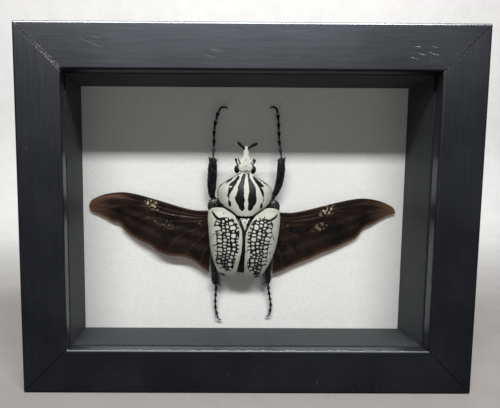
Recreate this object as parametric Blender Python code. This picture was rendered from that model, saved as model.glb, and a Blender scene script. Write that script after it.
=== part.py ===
"""A goliath beetle with spread wings, pinned flat in a small black shadow-box frame behind glass.

The frame stands on its bottom rail and faces -Y. The origin is at the middle of the frame's footprint.
Lengths are in millimetres until a mesh is finished, and then the mesh is scaled to metres.
The beetle is modelled in its own axes: X to the right, Y along the body towards the head, and Z out of
the card towards the glass. An empty at its waist, on the face of the card, stands it up in the frame.
"""

import math

import bmesh
import bpy
import numpy as np
from mathutils import Vector

METRES = 0.001
FIT_GAP = 0.3
CUT_OVERRUN = 1.0
MERGE_DISTANCE = 0.001
SMOOTH_ANGLE = math.radians(40)

# Frame
FRAME_WIDTH = 250.0
FRAME_HEIGHT = 200.5
FRAME_DEPTH = 48.0
RAIL_WIDTH = 24.7
RAIL_EDGE_RADIUS = 1.2
RAIL_ARC_STEPS = 4
LIP_DEPTH = 6.0
RABBET_WIDTH = 5.0
GLASS_THICKNESS = 1.8
GLASS_START = LIP_DEPTH + FIT_GAP
LINER_START = GLASS_START + GLASS_THICKNESS + FIT_GAP
LINER_THICKNESS = 4.4
CARD_START = 38.5
CARD_THICKNESS = 1.5
BOARD_START = CARD_START + CARD_THICKNESS + FIT_GAP
BOARD_THICKNESS = 3.0
PANEL_CLEARANCE = 0.5

# Bent steel tabs that keep the back board in
TAB_START = BOARD_START + BOARD_THICKNESS + FIT_GAP
TAB_THICKNESS = 0.5
TAB_WIDTH = 12.0
TAB_LENGTH = 14.0
TAB_SEAT = 4.0
TABS_FROM_MIDDLE = 62.0

# Where the beetle is pinned: its waist, from the middle of the frame's base, and its small lean
WAIST_X = -0.7
WAIST_Z = 97.5
LEAN = math.radians(1.2)

# Outlines in the beetle's own axes, each half of a shape, as (distance from the midline, along the body)
PRONOTUM_SIDE = (
    (0.0, 26.2), (3.3, 25.8), (4.9, 24.9), (7.6, 23.1), (11.4, 20.9), (14.4, 18.8), (16.1, 16.1),
    (16.5, 13.4), (16.0, 10.4), (14.7, 7.7), (12.3, 5.5), (9.3, 3.6), (6.7, 1.75), (4.4, 0.15),
    (2.6, -0.15), (0.0, -0.15),
)
ELYTRON_INNER = {
    "left": (
        (14.8, 5.0), (12.7, 4.8), (9.7, 3.1), (7.0, 1.35), (5.3, -0.2), (3.6, -2.2), (2.0, -6.3),
        (1.4, -10.4), (1.2, -14.6), (1.4, -19.7), (2.0, -24.3), (2.8, -28.9), (3.4, -33.5),
        (4.2, -36.6), (5.9, -38.1), (8.6, -38.4),
    ),
    "right": (
        (14.8, 5.4), (12.7, 5.0), (9.7, 3.1), (7.0, 1.3), (4.8, -1.2), (2.4, -5.8), (0.8, -9.6),
        (0.5, -14.5), (0.6, -19.7), (0.6, -25.1), (0.9, -30.8), (1.7, -35.4), (3.6, -37.5),
        (6.7, -38.3),
    ),
}
ELYTRON_OUTER = {
    "left": (
        (14.8, 5.0), (17.8, 4.8), (20.3, 3.8), (21.4, 1.8), (21.7, -1.6), (21.3, -6.8), (20.6, -13.8),
        (19.6, -20.8), (17.9, -27.0), (16.0, -31.9), (13.5, -35.8), (11.0, -37.7), (8.6, -38.4),
    ),
    "right": (
        (14.8, 5.4), (18.0, 5.1), (20.7, 4.0), (21.9, 1.8), (22.2, -1.2), (22.0, -6.6), (21.4, -12.7),
        (20.0, -19.8), (17.6, -27.0), (14.9, -32.0), (12.3, -35.7), (9.7, -37.6), (6.7, -38.3),
    ),
}
BODY_SIDE = (
    (0.0, 3.2), (8.0, 3.2), (13.0, 3.4), (16.2, 3.3), (17.0, 1.2), (16.8, -8.0), (16.4, -18.0),
    (14.6, -25.6), (10.2, -31.0), (5.0, -33.8), (0.0, -34.5),
)
HEAD_SIDE = (
    (2.9, 26.55), (4.3, 27.6), (4.5, 28.8), (3.9, 31.0), (3.4, 33.2), (2.3, 35.2), (1.8, 37.6),
    (1.4, 40.2), (0.9, 41.2),
)
SCUTELLUM_FRONT = -0.9
SCUTELLUM_TIP = -8.2
SCUTELLUM_HALF_WIDTH = 2.9
WING_LEADING = (
    (21.9, 2.8), (29.0, 2.7), (38.0, 4.4), (47.0, 6.8), (56.0, 9.2), (65.0, 11.3), (73.0, 12.4),
    (81.0, 11.8), (89.5, 9.4), (94.5, 6.4), (95.8, 3.2),
)
WING_TRAILING_LEFT = (
    (19.8, -36.4), (23.9, -33.5), (28.9, -29.6), (31.0, -28.4), (36.2, -26.6), (44.3, -26.2),
    (52.3, -23.6), (56.2, -20.7), (64.6, -16.8), (70.7, -13.2), (74.4, -9.9), (75.8, -7.7),
    (81.0, -5.8), (86.0, -3.2), (91.0, -1.0), (94.6, 0.8), (95.8, 3.2),
)
WING_TRAILING_RIGHT = (
    (19.8, -36.4), (25.0, -34.6), (29.5, -32.3), (34.5, -29.8), (42.4, -26.4), (50.6, -22.4),
    (58.5, -19.1), (66.5, -15.1), (70.8, -12.8), (73.3, -10.6), (74.9, -7.6), (82.2, -2.8),
    (87.5, 0.5), (92.0, 2.6), (95.0, 3.4), (95.8, 3.2),
)
WING_ROOT = ((21.9, 2.8), (18.4, -3.0), (18.0, -17.0), (20.1, -27.0), (19.8, -36.4))

# Heights above the card, as (along the body, height)
CROWN_HEIGHT = (
    (-39.0, 9.6), (-36.0, 12.5), (-31.0, 16.0), (-24.0, 19.0), (-14.0, 20.2), (-6.0, 19.7),
    (0.0, 18.4), (5.0, 15.8),
)
RIM_HEIGHT = ((-39.0, 8.4), (-30.0, 9.0), (-15.0, 9.8), (0.0, 10.2), (5.0, 10.5))
WINGCASE_HALF_WIDTH = (
    (-39.0, 9.0), (-37.7, 11.4), (-35.8, 13.8), (-32.0, 16.2), (-27.0, 18.2), (-20.8, 20.1),
    (-13.8, 21.4), (-6.8, 22.1), (0.0, 22.2), (5.4, 21.0),
)
PRONOTUM_CROWN = ((-0.5, 19.4), (4.0, 20.4), (9.0, 20.7), (15.0, 19.8), (22.0, 17.0), (26.5, 14.6))
PRONOTUM_RIM = (
    (-0.5, 18.4), (2.0, 17.6), (4.0, 16.2), (6.0, 14.0), (8.5, 12.3), (16.0, 12.0), (24.0, 13.0),
    (26.5, 13.6),
)
HEAD_TOP = ((26.0, 13.6), (30.0, 14.5), (34.0, 14.2), (38.0, 14.5), (41.5, 15.0))
HEAD_BOTTOM = ((26.0, 8.6), (31.0, 9.2), (35.0, 11.2), (38.0, 12.2), (41.5, 13.2))
WING_LEADING_HEIGHT = ((0.0, 7.6), (0.3, 7.2), (0.6, 5.4), (0.8, 3.6), (1.0, 1.8))
WING_TRAILING_HEIGHT_LEFT = ((0.0, 4.6), (0.2, 5.8), (0.5, 4.6), (0.75, 2.4), (1.0, 1.8))
WING_TRAILING_HEIGHT_RIGHT = ((0.0, 3.4), (0.2, 3.4), (0.5, 3.0), (0.75, 2.4), (1.0, 1.8))

# Shells, each drawn on a grid of (rows along, columns across)
WINGCASE_THICKNESS = 1.2
WINGCASE_GRID = (18, 8)
WINGCASE_ARCH = 3.2
SCUTELLUM_GRID = (6, 5)
SHIELD_GRID = (16, 12)
SHIELD_THICKNESS = 1.3
SHIELD_ARCH = 2.4
SHIELD_UNDERSIDE = 8.5
SHIELD_DEEP_FROM = (4.5, 9.5)
SHIELD_DEEP_TO = (21.0, 25.5)
BODY_GRID = (15, 9)
BODY_LEAST_THICKNESS = 1.0
BODY_BELOW_WINGCASE = 2.0
BODY_UNDERSIDE = 6.9
BODY_KEEL_RISE = 1.5
SHOULDER_LOBE = (17.9, 5.6, 7.9)
SHOULDER_LOBE_RADII = (4.2, 4.9, 2.2)
HEAD_GRID = (13, 7)
HEAD_MIDLINE = -0.25
HEAD_DOME = 1.6
HEAD_DOME_HALF_WIDTH = 4.0
EYE = (4.85, 27.9, 11.2)
EYE_RADII = (1.7, 2.4, 2.2)
BALL_SEGMENTS = (10, 7)
WING_ROWS = 22
WING_THICKNESS = 0.4
WING_PLEATS = 4
WING_PLEAT_HEIGHT = 0.45
WING_ROOT_FADE = 6.0
WING_CROWD = 0.2

# Limbs as (across, along, height, half width, half height) at each station
LIMB_POINT = 0.6
HORN_RINGS = 6
ANTENNA_RINGS = 8
ANTENNA_SIDES = 6
UPPER_LEG_RINGS = 12
LEG_SIDES = 8
HORN_PRONGS = {
    "left": (
        (-0.9, 39.8, 14.0, 1.0, 0.8), (-2.8, 41.3, 14.4, 1.1, 0.7), (-4.5, 42.6, 14.9, 1.15, 0.6),
        (-5.4, 43.9, 15.3, 0.6, 0.4),
    ),
    "right": (
        (0.4, 39.8, 14.0, 1.0, 0.8), (2.5, 41.3, 14.3, 1.1, 0.7), (4.5, 42.5, 14.8, 1.35, 0.6),
        (6.0, 43.2, 15.2, 0.9, 0.45),
    ),
}
ANTENNAE = {
    "left": (
        (-3.6, 30.0, 7.2, 0.5, 0.5), (-4.9, 31.3, 8.4, 0.45, 0.45), (-5.5, 32.6, 9.4, 0.5, 0.5),
        (-5.8, 33.6, 9.9, 0.85, 0.7), (-5.9, 34.4, 10.1, 0.6, 0.5),
    ),
    "right": (
        (3.4, 30.0, 7.2, 0.5, 0.5), (4.7, 31.1, 8.4, 0.45, 0.45), (5.2, 32.2, 9.4, 0.5, 0.5),
        (5.4, 33.2, 9.9, 0.85, 0.7), (5.5, 34.0, 10.1, 0.6, 0.5),
    ),
}
UPPER_LEGS = {
    "foreleg_left": (
        (-7.0, 9.5, 4.6, 2.0, 1.9), (-12.5, 8.2, 4.4, 2.3, 2.0), (-17.4, 8.6, 4.1, 2.1, 1.7),
        (-19.3, 11.6, 4.7, 2.0, 1.6), (-19.7, 17.0, 5.8, 2.7, 1.5), (-19.6, 25.0, 6.8, 2.85, 1.5),
        (-19.5, 31.5, 7.2, 2.4, 1.4), (-19.4, 34.4, 7.2, 1.6, 1.1),
    ),
    "foreleg_right": (
        (7.0, 10.6, 4.6, 2.0, 1.9), (12.0, 9.4, 4.4, 2.3, 2.0), (16.6, 10.4, 4.1, 2.0, 1.7),
        (19.0, 13.6, 4.7, 1.9, 1.6), (21.2, 19.5, 5.8, 2.3, 1.5), (21.9, 26.0, 6.8, 2.45, 1.5),
        (21.9, 32.5, 7.2, 2.2, 1.4), (21.9, 35.4, 7.2, 1.5, 1.1),
    ),
    "midleg_left": (
        (-5.0, -6.5, 4.6, 1.9, 1.7), (-11.0, -7.2, 4.3, 2.1, 1.8), (-15.8, -9.2, 3.6, 1.7, 1.5),
        (-17.6, -11.8, 3.2, 1.5, 1.3), (-19.9, -15.6, 3.0, 1.7, 1.2), (-22.0, -19.2, 2.8, 1.5, 1.1),
        (-22.4, -19.9, 2.8, 1.0, 0.8),
    ),
    "hindleg_left": (
        (-5.5, -14.0, 4.4, 2.2, 1.9), (-11.5, -19.0, 4.2, 2.6, 2.0), (-16.4, -25.3, 4.0, 2.1, 1.8),
        (-17.4, -30.0, 4.2, 1.7, 1.5), (-16.8, -36.0, 4.8, 1.8, 1.5), (-16.0, -41.6, 5.0, 2.0, 1.4),
        (-15.7, -43.4, 5.0, 1.3, 1.0),
    ),
    "hindleg_right": (
        (5.5, -14.0, 4.4, 2.2, 1.9), (11.5, -19.0, 4.2, 2.6, 2.0), (16.0, -25.0, 4.0, 2.1, 1.8),
        (17.2, -29.6, 4.2, 1.7, 1.5), (16.9, -35.2, 4.8, 1.8, 1.5), (16.9, -40.0, 5.0, 2.0, 1.4),
        (17.2, -41.8, 5.0, 1.3, 1.0),
    ),
}
# The foot's centre line as (across, along, height), from the end of the shank, and then the claw's
FEET = {
    "foreleg_left": (
        (
            (-19.4, 35.0, 7.0), (-19.1, 43.4, 4.6), (-19.1, 51.8, 3.4), (-17.9, 59.2, 3.0),
            (-17.0, 62.4, 2.9),
        ),
        ((-17.0, 62.4, 2.9), (-15.6, 64.8, 2.8), (-13.3, 65.5, 2.3), (-11.0, 64.8, 1.6)),
    ),
    "foreleg_right": (
        ((21.9, 36.0, 7.0), (21.3, 41.2, 5.4), (20.6, 46.3, 4.4), (20.2, 53.7, 3.4), (19.4, 62.2, 2.9)),
        ((19.4, 62.2, 2.9), (18.3, 65.3, 2.8), (16.2, 66.4, 2.3), (14.1, 65.3, 1.6)),
    ),
    "midleg_left": (
        ((-22.5, -20.2, 2.6), (-23.7, -23.2, 2.1), (-24.2, -25.6, 1.8), (-24.2, -27.6, 1.6)),
        ((-24.2, -27.6, 1.6), (-23.9, -29.2, 1.4), (-22.8, -30.2, 1.1)),
    ),
    "hindleg_left": (
        (
            (-15.6, -43.9, 4.8), (-15.3, -48.1, 4.0), (-15.5, -52.3, 3.2), (-15.4, -56.4, 2.7),
            (-14.9, -60.9, 2.3), (-14.1, -63.8, 2.1),
        ),
        ((-14.1, -63.8, 2.1), (-13.5, -66.0, 1.9), (-12.4, -67.3, 1.5), (-11.0, -67.5, 1.1)),
    ),
    "hindleg_right": (
        (
            (17.3, -42.3, 4.8), (17.8, -46.1, 4.0), (18.6, -49.9, 3.2), (19.4, -54.0, 2.7),
            (19.9, -58.1, 2.3), (19.4, -61.2, 2.1),
        ),
        ((19.4, -61.2, 2.1), (19.1, -63.0, 1.9), (18.2, -64.4, 1.5), (16.9, -64.6, 1.1)),
    ),
}
# Spines as (root, tip, radius)
SPINES = {
    "foreleg_left": (
        ((-20.9, 32.2, 7.2), (-22.0, 35.4, 7.3), 0.9), ((-18.2, 31.8, 7.2), (-16.6, 34.0, 7.2), 0.8),
    ),
    "foreleg_right": (
        ((23.2, 33.2, 7.2), (24.3, 36.8, 7.3), 0.9), ((20.9, 32.6, 7.2), (19.4, 34.8, 7.2), 0.8),
    ),
    "hindleg_left": (
        ((-15.4, -41.4, 5.0), (-12.3, -45.2, 4.7), 0.7),
        ((-15.9, -42.2, 5.2), (-14.0, -46.6, 5.2), 0.6),
    ),
    "hindleg_right": (
        ((16.3, -40.2, 5.0), (13.2, -43.6, 4.7), 0.7), ((16.8, -41.0, 5.2), (15.1, -45.4, 5.2), 0.6),
    ),
}
FOOT_BEADS = {"fore": 5, "mid": 3, "hind": 5}
FOOT_SCALE = {"fore": 1.0, "mid": 0.75, "hind": 0.95}
BEAD_STEPS = ((0.02, 0.5), (0.45, 0.72), (0.82, 1.0), (0.98, 0.62))
FOOT_RADIUS = 0.95
FOOT_FLATNESS = 0.9
CLAW_RADII = (0.5, 0.5, 0.45, 0.35, 0.15)
CLAW_START = 0.12
CLAW_SIDES = 6
SECOND_CLAW_DROP = 0.9
SPINE_SIDES = 6
SPINE_TIP_RADIUS = 0.1

# Steel pins through the wings into the card
PIN_HEAD = (26.8, -4.8, 12.0)
PIN_THROUGH_WING = (24.9, -7.4, 6.4)
PIN_RADIUS = 0.25
PIN_POINT_RADIUS = 0.15
PIN_HOLE_RADIUS = 0.6
PIN_POINT_HEIGHT = -1.2
PIN_SIDES = 8
CARD_HOLE_HEIGHTS = (-4.0, 3.0)
WING_HOLE_HEIGHTS = (2.0, 11.0)


def clear_scene():
    """Removes whatever the scene starts with."""
    for obj in list(bpy.data.objects):
        bpy.data.objects.remove(obj, do_unlink=True)


def make_material(name, colour, roughness, metallic=0.0, alpha=1.0):
    """A Principled material of one colour."""
    material = bpy.data.materials.new(name)
    material.use_nodes = True
    shader = material.node_tree.nodes["Principled BSDF"]
    shader.inputs["Base Color"].default_value = (*colour, 1.0)
    shader.inputs["Roughness"].default_value = roughness
    shader.inputs["Metallic"].default_value = metallic
    shader.inputs["Alpha"].default_value = alpha
    material.diffuse_color = (*colour, alpha)
    return material


def mesh_of(points, faces):
    """A closed mesh in millimetres, with coinciding points merged and its faces turned outwards."""
    built = bmesh.new()
    corners = [built.verts.new(point) for point in points]
    for face in faces:
        built.faces.new([corners[index] for index in face])
    bmesh.ops.remove_doubles(built, verts=built.verts, dist=MERGE_DISTANCE)
    bmesh.ops.recalc_face_normals(built, faces=built.faces)
    mesh = bpy.data.meshes.new("shape")
    built.to_mesh(mesh)
    built.free()
    return mesh


def combine(mesh, others, operation):
    """The first mesh with each of the others joined to it or cut from it."""
    base = bpy.data.objects.new("base", mesh)
    bpy.context.scene.collection.objects.link(base)
    tools = []
    for other in others:
        tool = bpy.data.objects.new("tool", other)
        bpy.context.scene.collection.objects.link(tool)
        tools.append(tool)
        modifier = base.modifiers.new("combine", "BOOLEAN")
        modifier.operation = operation
        modifier.solver = "EXACT"
        modifier.object = tool
    bpy.context.view_layer.update()
    graph = bpy.context.evaluated_depsgraph_get()
    result = bpy.data.meshes.new_from_object(base.evaluated_get(graph))
    for obj in (base, *tools):
        bpy.data.objects.remove(obj, do_unlink=True)
    return result


def add_piece(name, mesh, material, parent=None, smooth=False):
    """The finished object: the mesh is scaled to metres and gets its name and material."""
    mesh.transform(((METRES, 0, 0, 0), (0, METRES, 0, 0), (0, 0, METRES, 0), (0, 0, 0, 1)))
    mesh.name = name
    mesh.materials.clear()
    mesh.materials.append(material)
    if smooth:
        mesh.shade_smooth()
        mesh.set_sharp_from_angle(angle=SMOOTH_ANGLE)
    obj = bpy.data.objects.new(name, mesh)
    bpy.context.scene.collection.objects.link(obj)
    obj.parent = parent
    return obj


def box_mesh(low, high):
    """A box between two corners."""
    xs, ys, zs = zip(low, high)
    corners = [(x, y, z) for z in zs for y in ys for x in xs]
    faces = ((0, 2, 3, 1), (4, 5, 7, 6), (0, 1, 5, 4), (2, 6, 7, 3), (0, 4, 6, 2), (1, 3, 7, 5))
    return mesh_of(corners, faces)


def rod_mesh(start, end, radius, end_radius, sides):
    """A straight round rod or cone between two points."""
    along = Vector(end) - Vector(start)
    turn = along.to_track_quat("Z", "Y")
    built = bmesh.new()
    bmesh.ops.create_cone(
        built, cap_ends=True, segments=sides, radius1=radius, radius2=end_radius, depth=along.length
    )
    for vert in built.verts:
        vert.co = turn @ vert.co + (Vector(start) + Vector(end)) / 2
    bmesh.ops.remove_doubles(built, verts=built.verts, dist=MERGE_DISTANCE)
    mesh = bpy.data.meshes.new("rod")
    built.to_mesh(mesh)
    built.free()
    return mesh


def ball_mesh(centre, radii):
    """An ellipsoid."""
    built = bmesh.new()
    bmesh.ops.create_uvsphere(
        built, u_segments=BALL_SEGMENTS[0], v_segments=BALL_SEGMENTS[1], radius=1.0
    )
    for vert in built.verts:
        vert.co = Vector(c + r * p for c, r, p in zip(centre, radii, vert.co))
    mesh = bpy.data.meshes.new("ball")
    built.to_mesh(mesh)
    built.free()
    return mesh


def through(points, at):
    """Values on a smooth curve through (position, value) points, by a cubic between each pair."""
    points = np.asarray(points, float)
    knots, values = points[:, 0], points[:, 1:]
    at = np.clip(np.asarray(at, float), knots[0], knots[-1])
    slopes = np.gradient(values, knots, axis=0)
    index = np.clip(np.searchsorted(knots, at, side="right") - 1, 0, len(knots) - 2)
    width = (knots[index + 1] - knots[index])[..., None]
    step = (at[..., None] - knots[index][..., None]) / width
    rest = 1 - step
    found = (1 + 2 * step) * rest**2 * values[index] + step * rest**2 * width * slopes[index]
    found += step**2 * (3 - 2 * step) * values[index + 1] - step**2 * rest * width * slopes[index + 1]
    return found[..., 0] if found.shape[-1] == 1 else found


def trace(points, share):
    """Points at these shares of the length of a smooth curve through control points."""
    points = np.asarray(points, float)
    steps = np.linalg.norm(np.diff(points[:, :3], axis=0), axis=1)
    length = np.concatenate([[0.0], np.cumsum(steps)])
    knots = np.column_stack([length / length[-1], points])
    return through(knots, share)


def ease(low, high, value):
    """0 below low, 1 above high and a smooth rise between."""
    step = np.clip((value - low) / (high - low), 0.0, 1.0)
    return step * step * (3 - 2 * step)


def sheet_mesh(top, bottom):
    """The closed solid between two grids of points with the same layout."""
    rows, columns = top.shape[:2]
    index = np.arange(rows * columns).reshape(rows, columns)
    quads = np.stack([index[:-1, :-1], index[1:, :-1], index[1:, 1:], index[:-1, 1:]], axis=-1)
    quads = quads.reshape(-1, 4)
    rim = np.concatenate([index[0], index[1:, -1], index[-1, -2::-1], index[-2:0:-1, 0]])
    after = np.roll(rim, -1)
    under = rows * columns
    sides = np.stack([rim, after, after + under, rim + under], axis=-1)
    faces = np.concatenate([quads, quads[:, ::-1] + under, sides])
    points = np.concatenate([top.reshape(-1, 3), bottom.reshape(-1, 3)])
    return weld_sheet(points, faces)


def weld_sheet(points, faces):
    """Merges the points of a pole into one, and drops the faces that collapse."""
    _, first, index = np.unique(np.round(points, 3), axis=0, return_index=True, return_inverse=True)
    faces = index.reshape(-1)[faces]
    kept = []
    for face in faces.tolist():
        ring = [corner for place, corner in enumerate(face) if corner != face[place - 1]]
        if len(set(ring)) > 2:
            kept.append(ring)
    return mesh_of(points[first], kept)


def rows_between(first_edge, last_edge, rows, columns, crowd=0.5):
    """A grid of plan points: each row runs straight from one edge curve to the other.

    With crowd at 0 the rows are evenly spaced, and at 1 they lie closest together at both ends.
    """
    share = np.linspace(0, 1, rows)
    share = (1 - crowd) * share + crowd * (1 - np.cos(math.pi * share)) / 2
    start = trace(first_edge, share)[:, None]
    end = trace(last_edge, share)[:, None]
    across = np.linspace(0, 1, columns)[None, :, None]
    return start + (end - start) * across


def raised(plan, height):
    """Plan points with a height added as the third coordinate."""
    return np.concatenate([plan, height[..., None]], axis=-1)


def wingcase_height(across, along):
    """The arched outer surface that both wing cases share."""
    rim = through(RIM_HEIGHT, along)
    crown = through(CROWN_HEIGHT, along)
    share = np.clip(np.abs(across) / through(WINGCASE_HALF_WIDTH, along), 0, 1)
    return rim + (crown - rim) * (1 - share**WINGCASE_ARCH)


def limb_mesh(stations, sides):
    """A closed tube of oval rings round the stations, pointed at both ends."""
    stations = np.asarray(stations, float)
    centre, half_width, half_height = stations[:, :3], stations[:, 3], stations[:, 4]
    along = np.gradient(centre, axis=0)
    along /= np.linalg.norm(along, axis=1)[:, None]
    side = np.cross(along, (0.0, 0.0, 1.0))
    side /= np.linalg.norm(side, axis=1)[:, None]
    up = np.cross(side, along)
    turn = np.linspace(0, 2 * math.pi, sides, endpoint=False)
    rings = (
        centre[:, None]
        + side[:, None] * (half_width[:, None] * np.cos(turn))[..., None]
        + up[:, None] * (half_height[:, None] * np.sin(turn))[..., None]
    )
    count = len(stations)
    tips = np.array([
        centre[0] - along[0] * half_height[0] * LIMB_POINT,
        centre[-1] + along[-1] * half_height[-1] * LIMB_POINT,
    ])
    points = np.concatenate([rings.reshape(-1, 3), tips])
    faces = []
    for ring in range(count - 1):
        for corner in range(sides):
            after = (corner + 1) % sides
            low, high = ring * sides, (ring + 1) * sides
            faces.append((low + corner, low + after, high + after, high + corner))
    last = (count - 1) * sides
    for corner in range(sides):
        after = (corner + 1) % sides
        faces.append((after, corner, count * sides))
        faces.append((last + corner, last + after, count * sides + 1))
    return mesh_of(points, faces)


def smooth_stations(stations, count):
    """More stations on the smooth curve through a few."""
    return trace(stations, np.linspace(0, 1, count))


def build_rails(material):
    """Four mitred rails, each a straight run of the same section: lip, glass rabbet and back."""
    radius = RAIL_EDGE_RADIUS
    turns = np.linspace(0, math.pi / 2, RAIL_ARC_STEPS)
    outer_edge = [(radius - radius * math.cos(t), radius - radius * math.sin(t)) for t in turns]
    inner_edge = [
        (RAIL_WIDTH - radius + radius * math.sin(t), radius - radius * math.cos(t)) for t in turns
    ]
    rabbet = RAIL_WIDTH - RABBET_WIDTH
    back = [(RAIL_WIDTH, LIP_DEPTH), (rabbet, LIP_DEPTH), (rabbet, FRAME_DEPTH), (0.0, FRAME_DEPTH)]
    section = np.array([*outer_edge, *inner_edge, *back])
    inward, deep = section[:, 0], section[:, 1] - FRAME_DEPTH / 2
    mitre_gap = FIT_GAP / math.sqrt(2)
    middle = FRAME_HEIGHT / 2
    places = {
        "rail_top": (FRAME_WIDTH / 2, FRAME_HEIGHT / 2, 0.0),
        "rail_left": (FRAME_HEIGHT / 2, FRAME_WIDTH / 2, math.pi / 2),
        "rail_bottom": (FRAME_WIDTH / 2, FRAME_HEIGHT / 2, math.pi),
        "rail_right": (FRAME_HEIGHT / 2, FRAME_WIDTH / 2, -math.pi / 2),
    }
    tab_front = TAB_START - FRAME_DEPTH / 2
    for name, (half_run, out, turn) in places.items():
        ends = [
            np.column_stack([side * (half_run - inward - mitre_gap), deep, out - inward])
            for side in (-1, 1)
        ]
        count = len(section)
        faces = [tuple(range(count)), tuple(range(2 * count - 1, count - 1, -1))]
        faces += [(i, (i + 1) % count, count + (i + 1) % count, count + i) for i in range(count)]
        mesh = mesh_of(np.concatenate(ends), faces)
        cutters = []
        for place in tab_places(name):
            low = (
                place - TAB_WIDTH / 2 - FIT_GAP,
                tab_front - FIT_GAP,
                out - rabbet - CUT_OVERRUN,
            )
            high = (
                place + TAB_WIDTH / 2 + FIT_GAP,
                tab_front + TAB_THICKNESS + FIT_GAP,
                out - rabbet + TAB_SEAT + FIT_GAP,
            )
            cutters.append(box_mesh(low, high))
        mesh = combine(mesh, cutters, "DIFFERENCE")
        rail = add_piece(name, mesh, material, smooth=True)
        rail.location = (0.0, 0.0, middle * METRES)
        rail.rotation_euler = (0.0, -turn, 0.0)


def tab_places(rail):
    """Where along a rail its tabs sit, from its middle."""
    if rail in ("rail_top", "rail_bottom"):
        return (-TABS_FROM_MIDDLE, TABS_FROM_MIDDLE)
    return (0.0,)


def build_tabs(material):
    """The steel tabs, each seated in its rail and lying over the edge of the back board."""
    rabbet = RAIL_WIDTH - RABBET_WIDTH
    low_y = TAB_START - FRAME_DEPTH / 2
    number = 0
    for rail, out, turn in (
        ("rail_top", FRAME_HEIGHT / 2, 0.0),
        ("rail_left", FRAME_WIDTH / 2, math.pi / 2),
        ("rail_bottom", FRAME_HEIGHT / 2, math.pi),
        ("rail_right", FRAME_WIDTH / 2, -math.pi / 2),
    ):
        for place in tab_places(rail):
            number += 1
            high_z = out - rabbet + TAB_SEAT
            low = (place - TAB_WIDTH / 2, low_y, high_z - TAB_LENGTH)
            high = (place + TAB_WIDTH / 2, low_y + TAB_THICKNESS, high_z)
            tab = add_piece(f"back_tab_{number}", box_mesh(low, high), material)
            tab.location = (0.0, 0.0, FRAME_HEIGHT / 2 * METRES)
            tab.rotation_euler = (0.0, -turn, 0.0)


def panel_mesh(half_width, low, high, start, thickness):
    """A flat panel across the frame."""
    front = start - FRAME_DEPTH / 2
    return box_mesh((-half_width, front, low), (half_width, front + thickness, high))


def build_panels(materials):
    """Glass, card and back board in the rabbet, and the four liner walls between glass and card."""
    half = FRAME_WIDTH / 2 - RAIL_WIDTH + RABBET_WIDTH - PANEL_CLEARANCE
    low = RAIL_WIDTH - RABBET_WIDTH + PANEL_CLEARANCE
    high = FRAME_HEIGHT - low
    glass = panel_mesh(half, low, high, GLASS_START, GLASS_THICKNESS)
    add_piece("glass_pane", glass, materials["glass"])
    card = panel_mesh(half, low, high, CARD_START, CARD_THICKNESS)
    holes = []
    for side in (-1, 1):
        below, above = (beetle_to_frame(pin_line(side, height)) for height in CARD_HOLE_HEIGHTS)
        holes.append(rod_mesh(below, above, PIN_HOLE_RADIUS, PIN_HOLE_RADIUS, PIN_SIDES))
    add_piece("backing_card", combine(card, holes, "DIFFERENCE"), materials["card"])
    board = panel_mesh(half, low, high, BOARD_START, BOARD_THICKNESS)
    add_piece("back_board", board, materials["board"])

    inner = FRAME_WIDTH / 2 - RAIL_WIDTH
    front = LINER_START - FRAME_DEPTH / 2
    back = CARD_START - FIT_GAP - FRAME_DEPTH / 2
    thick = LINER_THICKNESS
    floor, ceiling = RAIL_WIDTH, FRAME_HEIGHT - RAIL_WIDTH
    walls = {
        "liner_top": ((-inner - thick, front, ceiling), (inner + thick, back, ceiling + thick)),
        "liner_bottom": ((-inner - thick, front, floor - thick), (inner + thick, back, floor)),
        "liner_left": ((-inner - thick, front, floor + FIT_GAP), (-inner, back, ceiling - FIT_GAP)),
        "liner_right": ((inner, front, floor + FIT_GAP), (inner + thick, back, ceiling - FIT_GAP)),
    }
    for name, (corner, opposite) in walls.items():
        add_piece(name, box_mesh(corner, opposite), materials["liner"])


def beetle_to_frame(point):
    """A point in the beetle's axes, in the frame's."""
    across, along, height = point
    x = WAIST_X + across * math.cos(LEAN) + along * math.sin(LEAN)
    z = WAIST_Z - across * math.sin(LEAN) + along * math.cos(LEAN)
    return (x, CARD_START - FRAME_DEPTH / 2 - height, z)


def pin_line(side, height):
    """The point of a wing pin's axis at a height above the card."""
    head, wing = np.array(PIN_HEAD), np.array(PIN_THROUGH_WING)
    point = wing + (head - wing) * (height - wing[2]) / (head[2] - wing[2])
    return (side * point[0], point[1], point[2])


def build_pronotum(material, parent):
    """The domed neck shield, with the front of the thorax under it."""
    left = [(-across, along) for across, along in PRONOTUM_SIDE]
    plan = rows_between(left, PRONOTUM_SIDE, *SHIELD_GRID)
    across, along = plan[..., 0], plan[..., 1]
    share = np.abs(across) / np.maximum(plan[:, -1:, 0], MERGE_DISTANCE)
    rim, crown = through(PRONOTUM_RIM, along), through(PRONOTUM_CROWN, along)
    top = rim + (crown - rim) * (1 - share**SHIELD_ARCH)
    deep = ease(*SHIELD_DEEP_FROM, along) * (1 - ease(*SHIELD_DEEP_TO, along)) * (1 - share**4)
    bottom = (top - SHIELD_THICKNESS) * (1 - deep) + SHIELD_UNDERSIDE * deep
    solid = sheet_mesh(raised(plan, top), raised(plan, bottom))
    add_piece("pronotum", solid, material, parent, smooth=True)


def build_wingcases(material, parent):
    """The two elytra: thin arched shells, a little apart along the middle."""
    for name, side in (("left", -1), ("right", 1)):
        plan = rows_between(ELYTRON_INNER[name], ELYTRON_OUTER[name], *WINGCASE_GRID) * (side, 1)
        top = wingcase_height(plan[..., 0], plan[..., 1])
        solid = sheet_mesh(raised(plan, top), raised(plan, top - WINGCASE_THICKNESS))
        add_piece(f"elytron_{name}", solid, material, parent, smooth=True)


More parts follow.
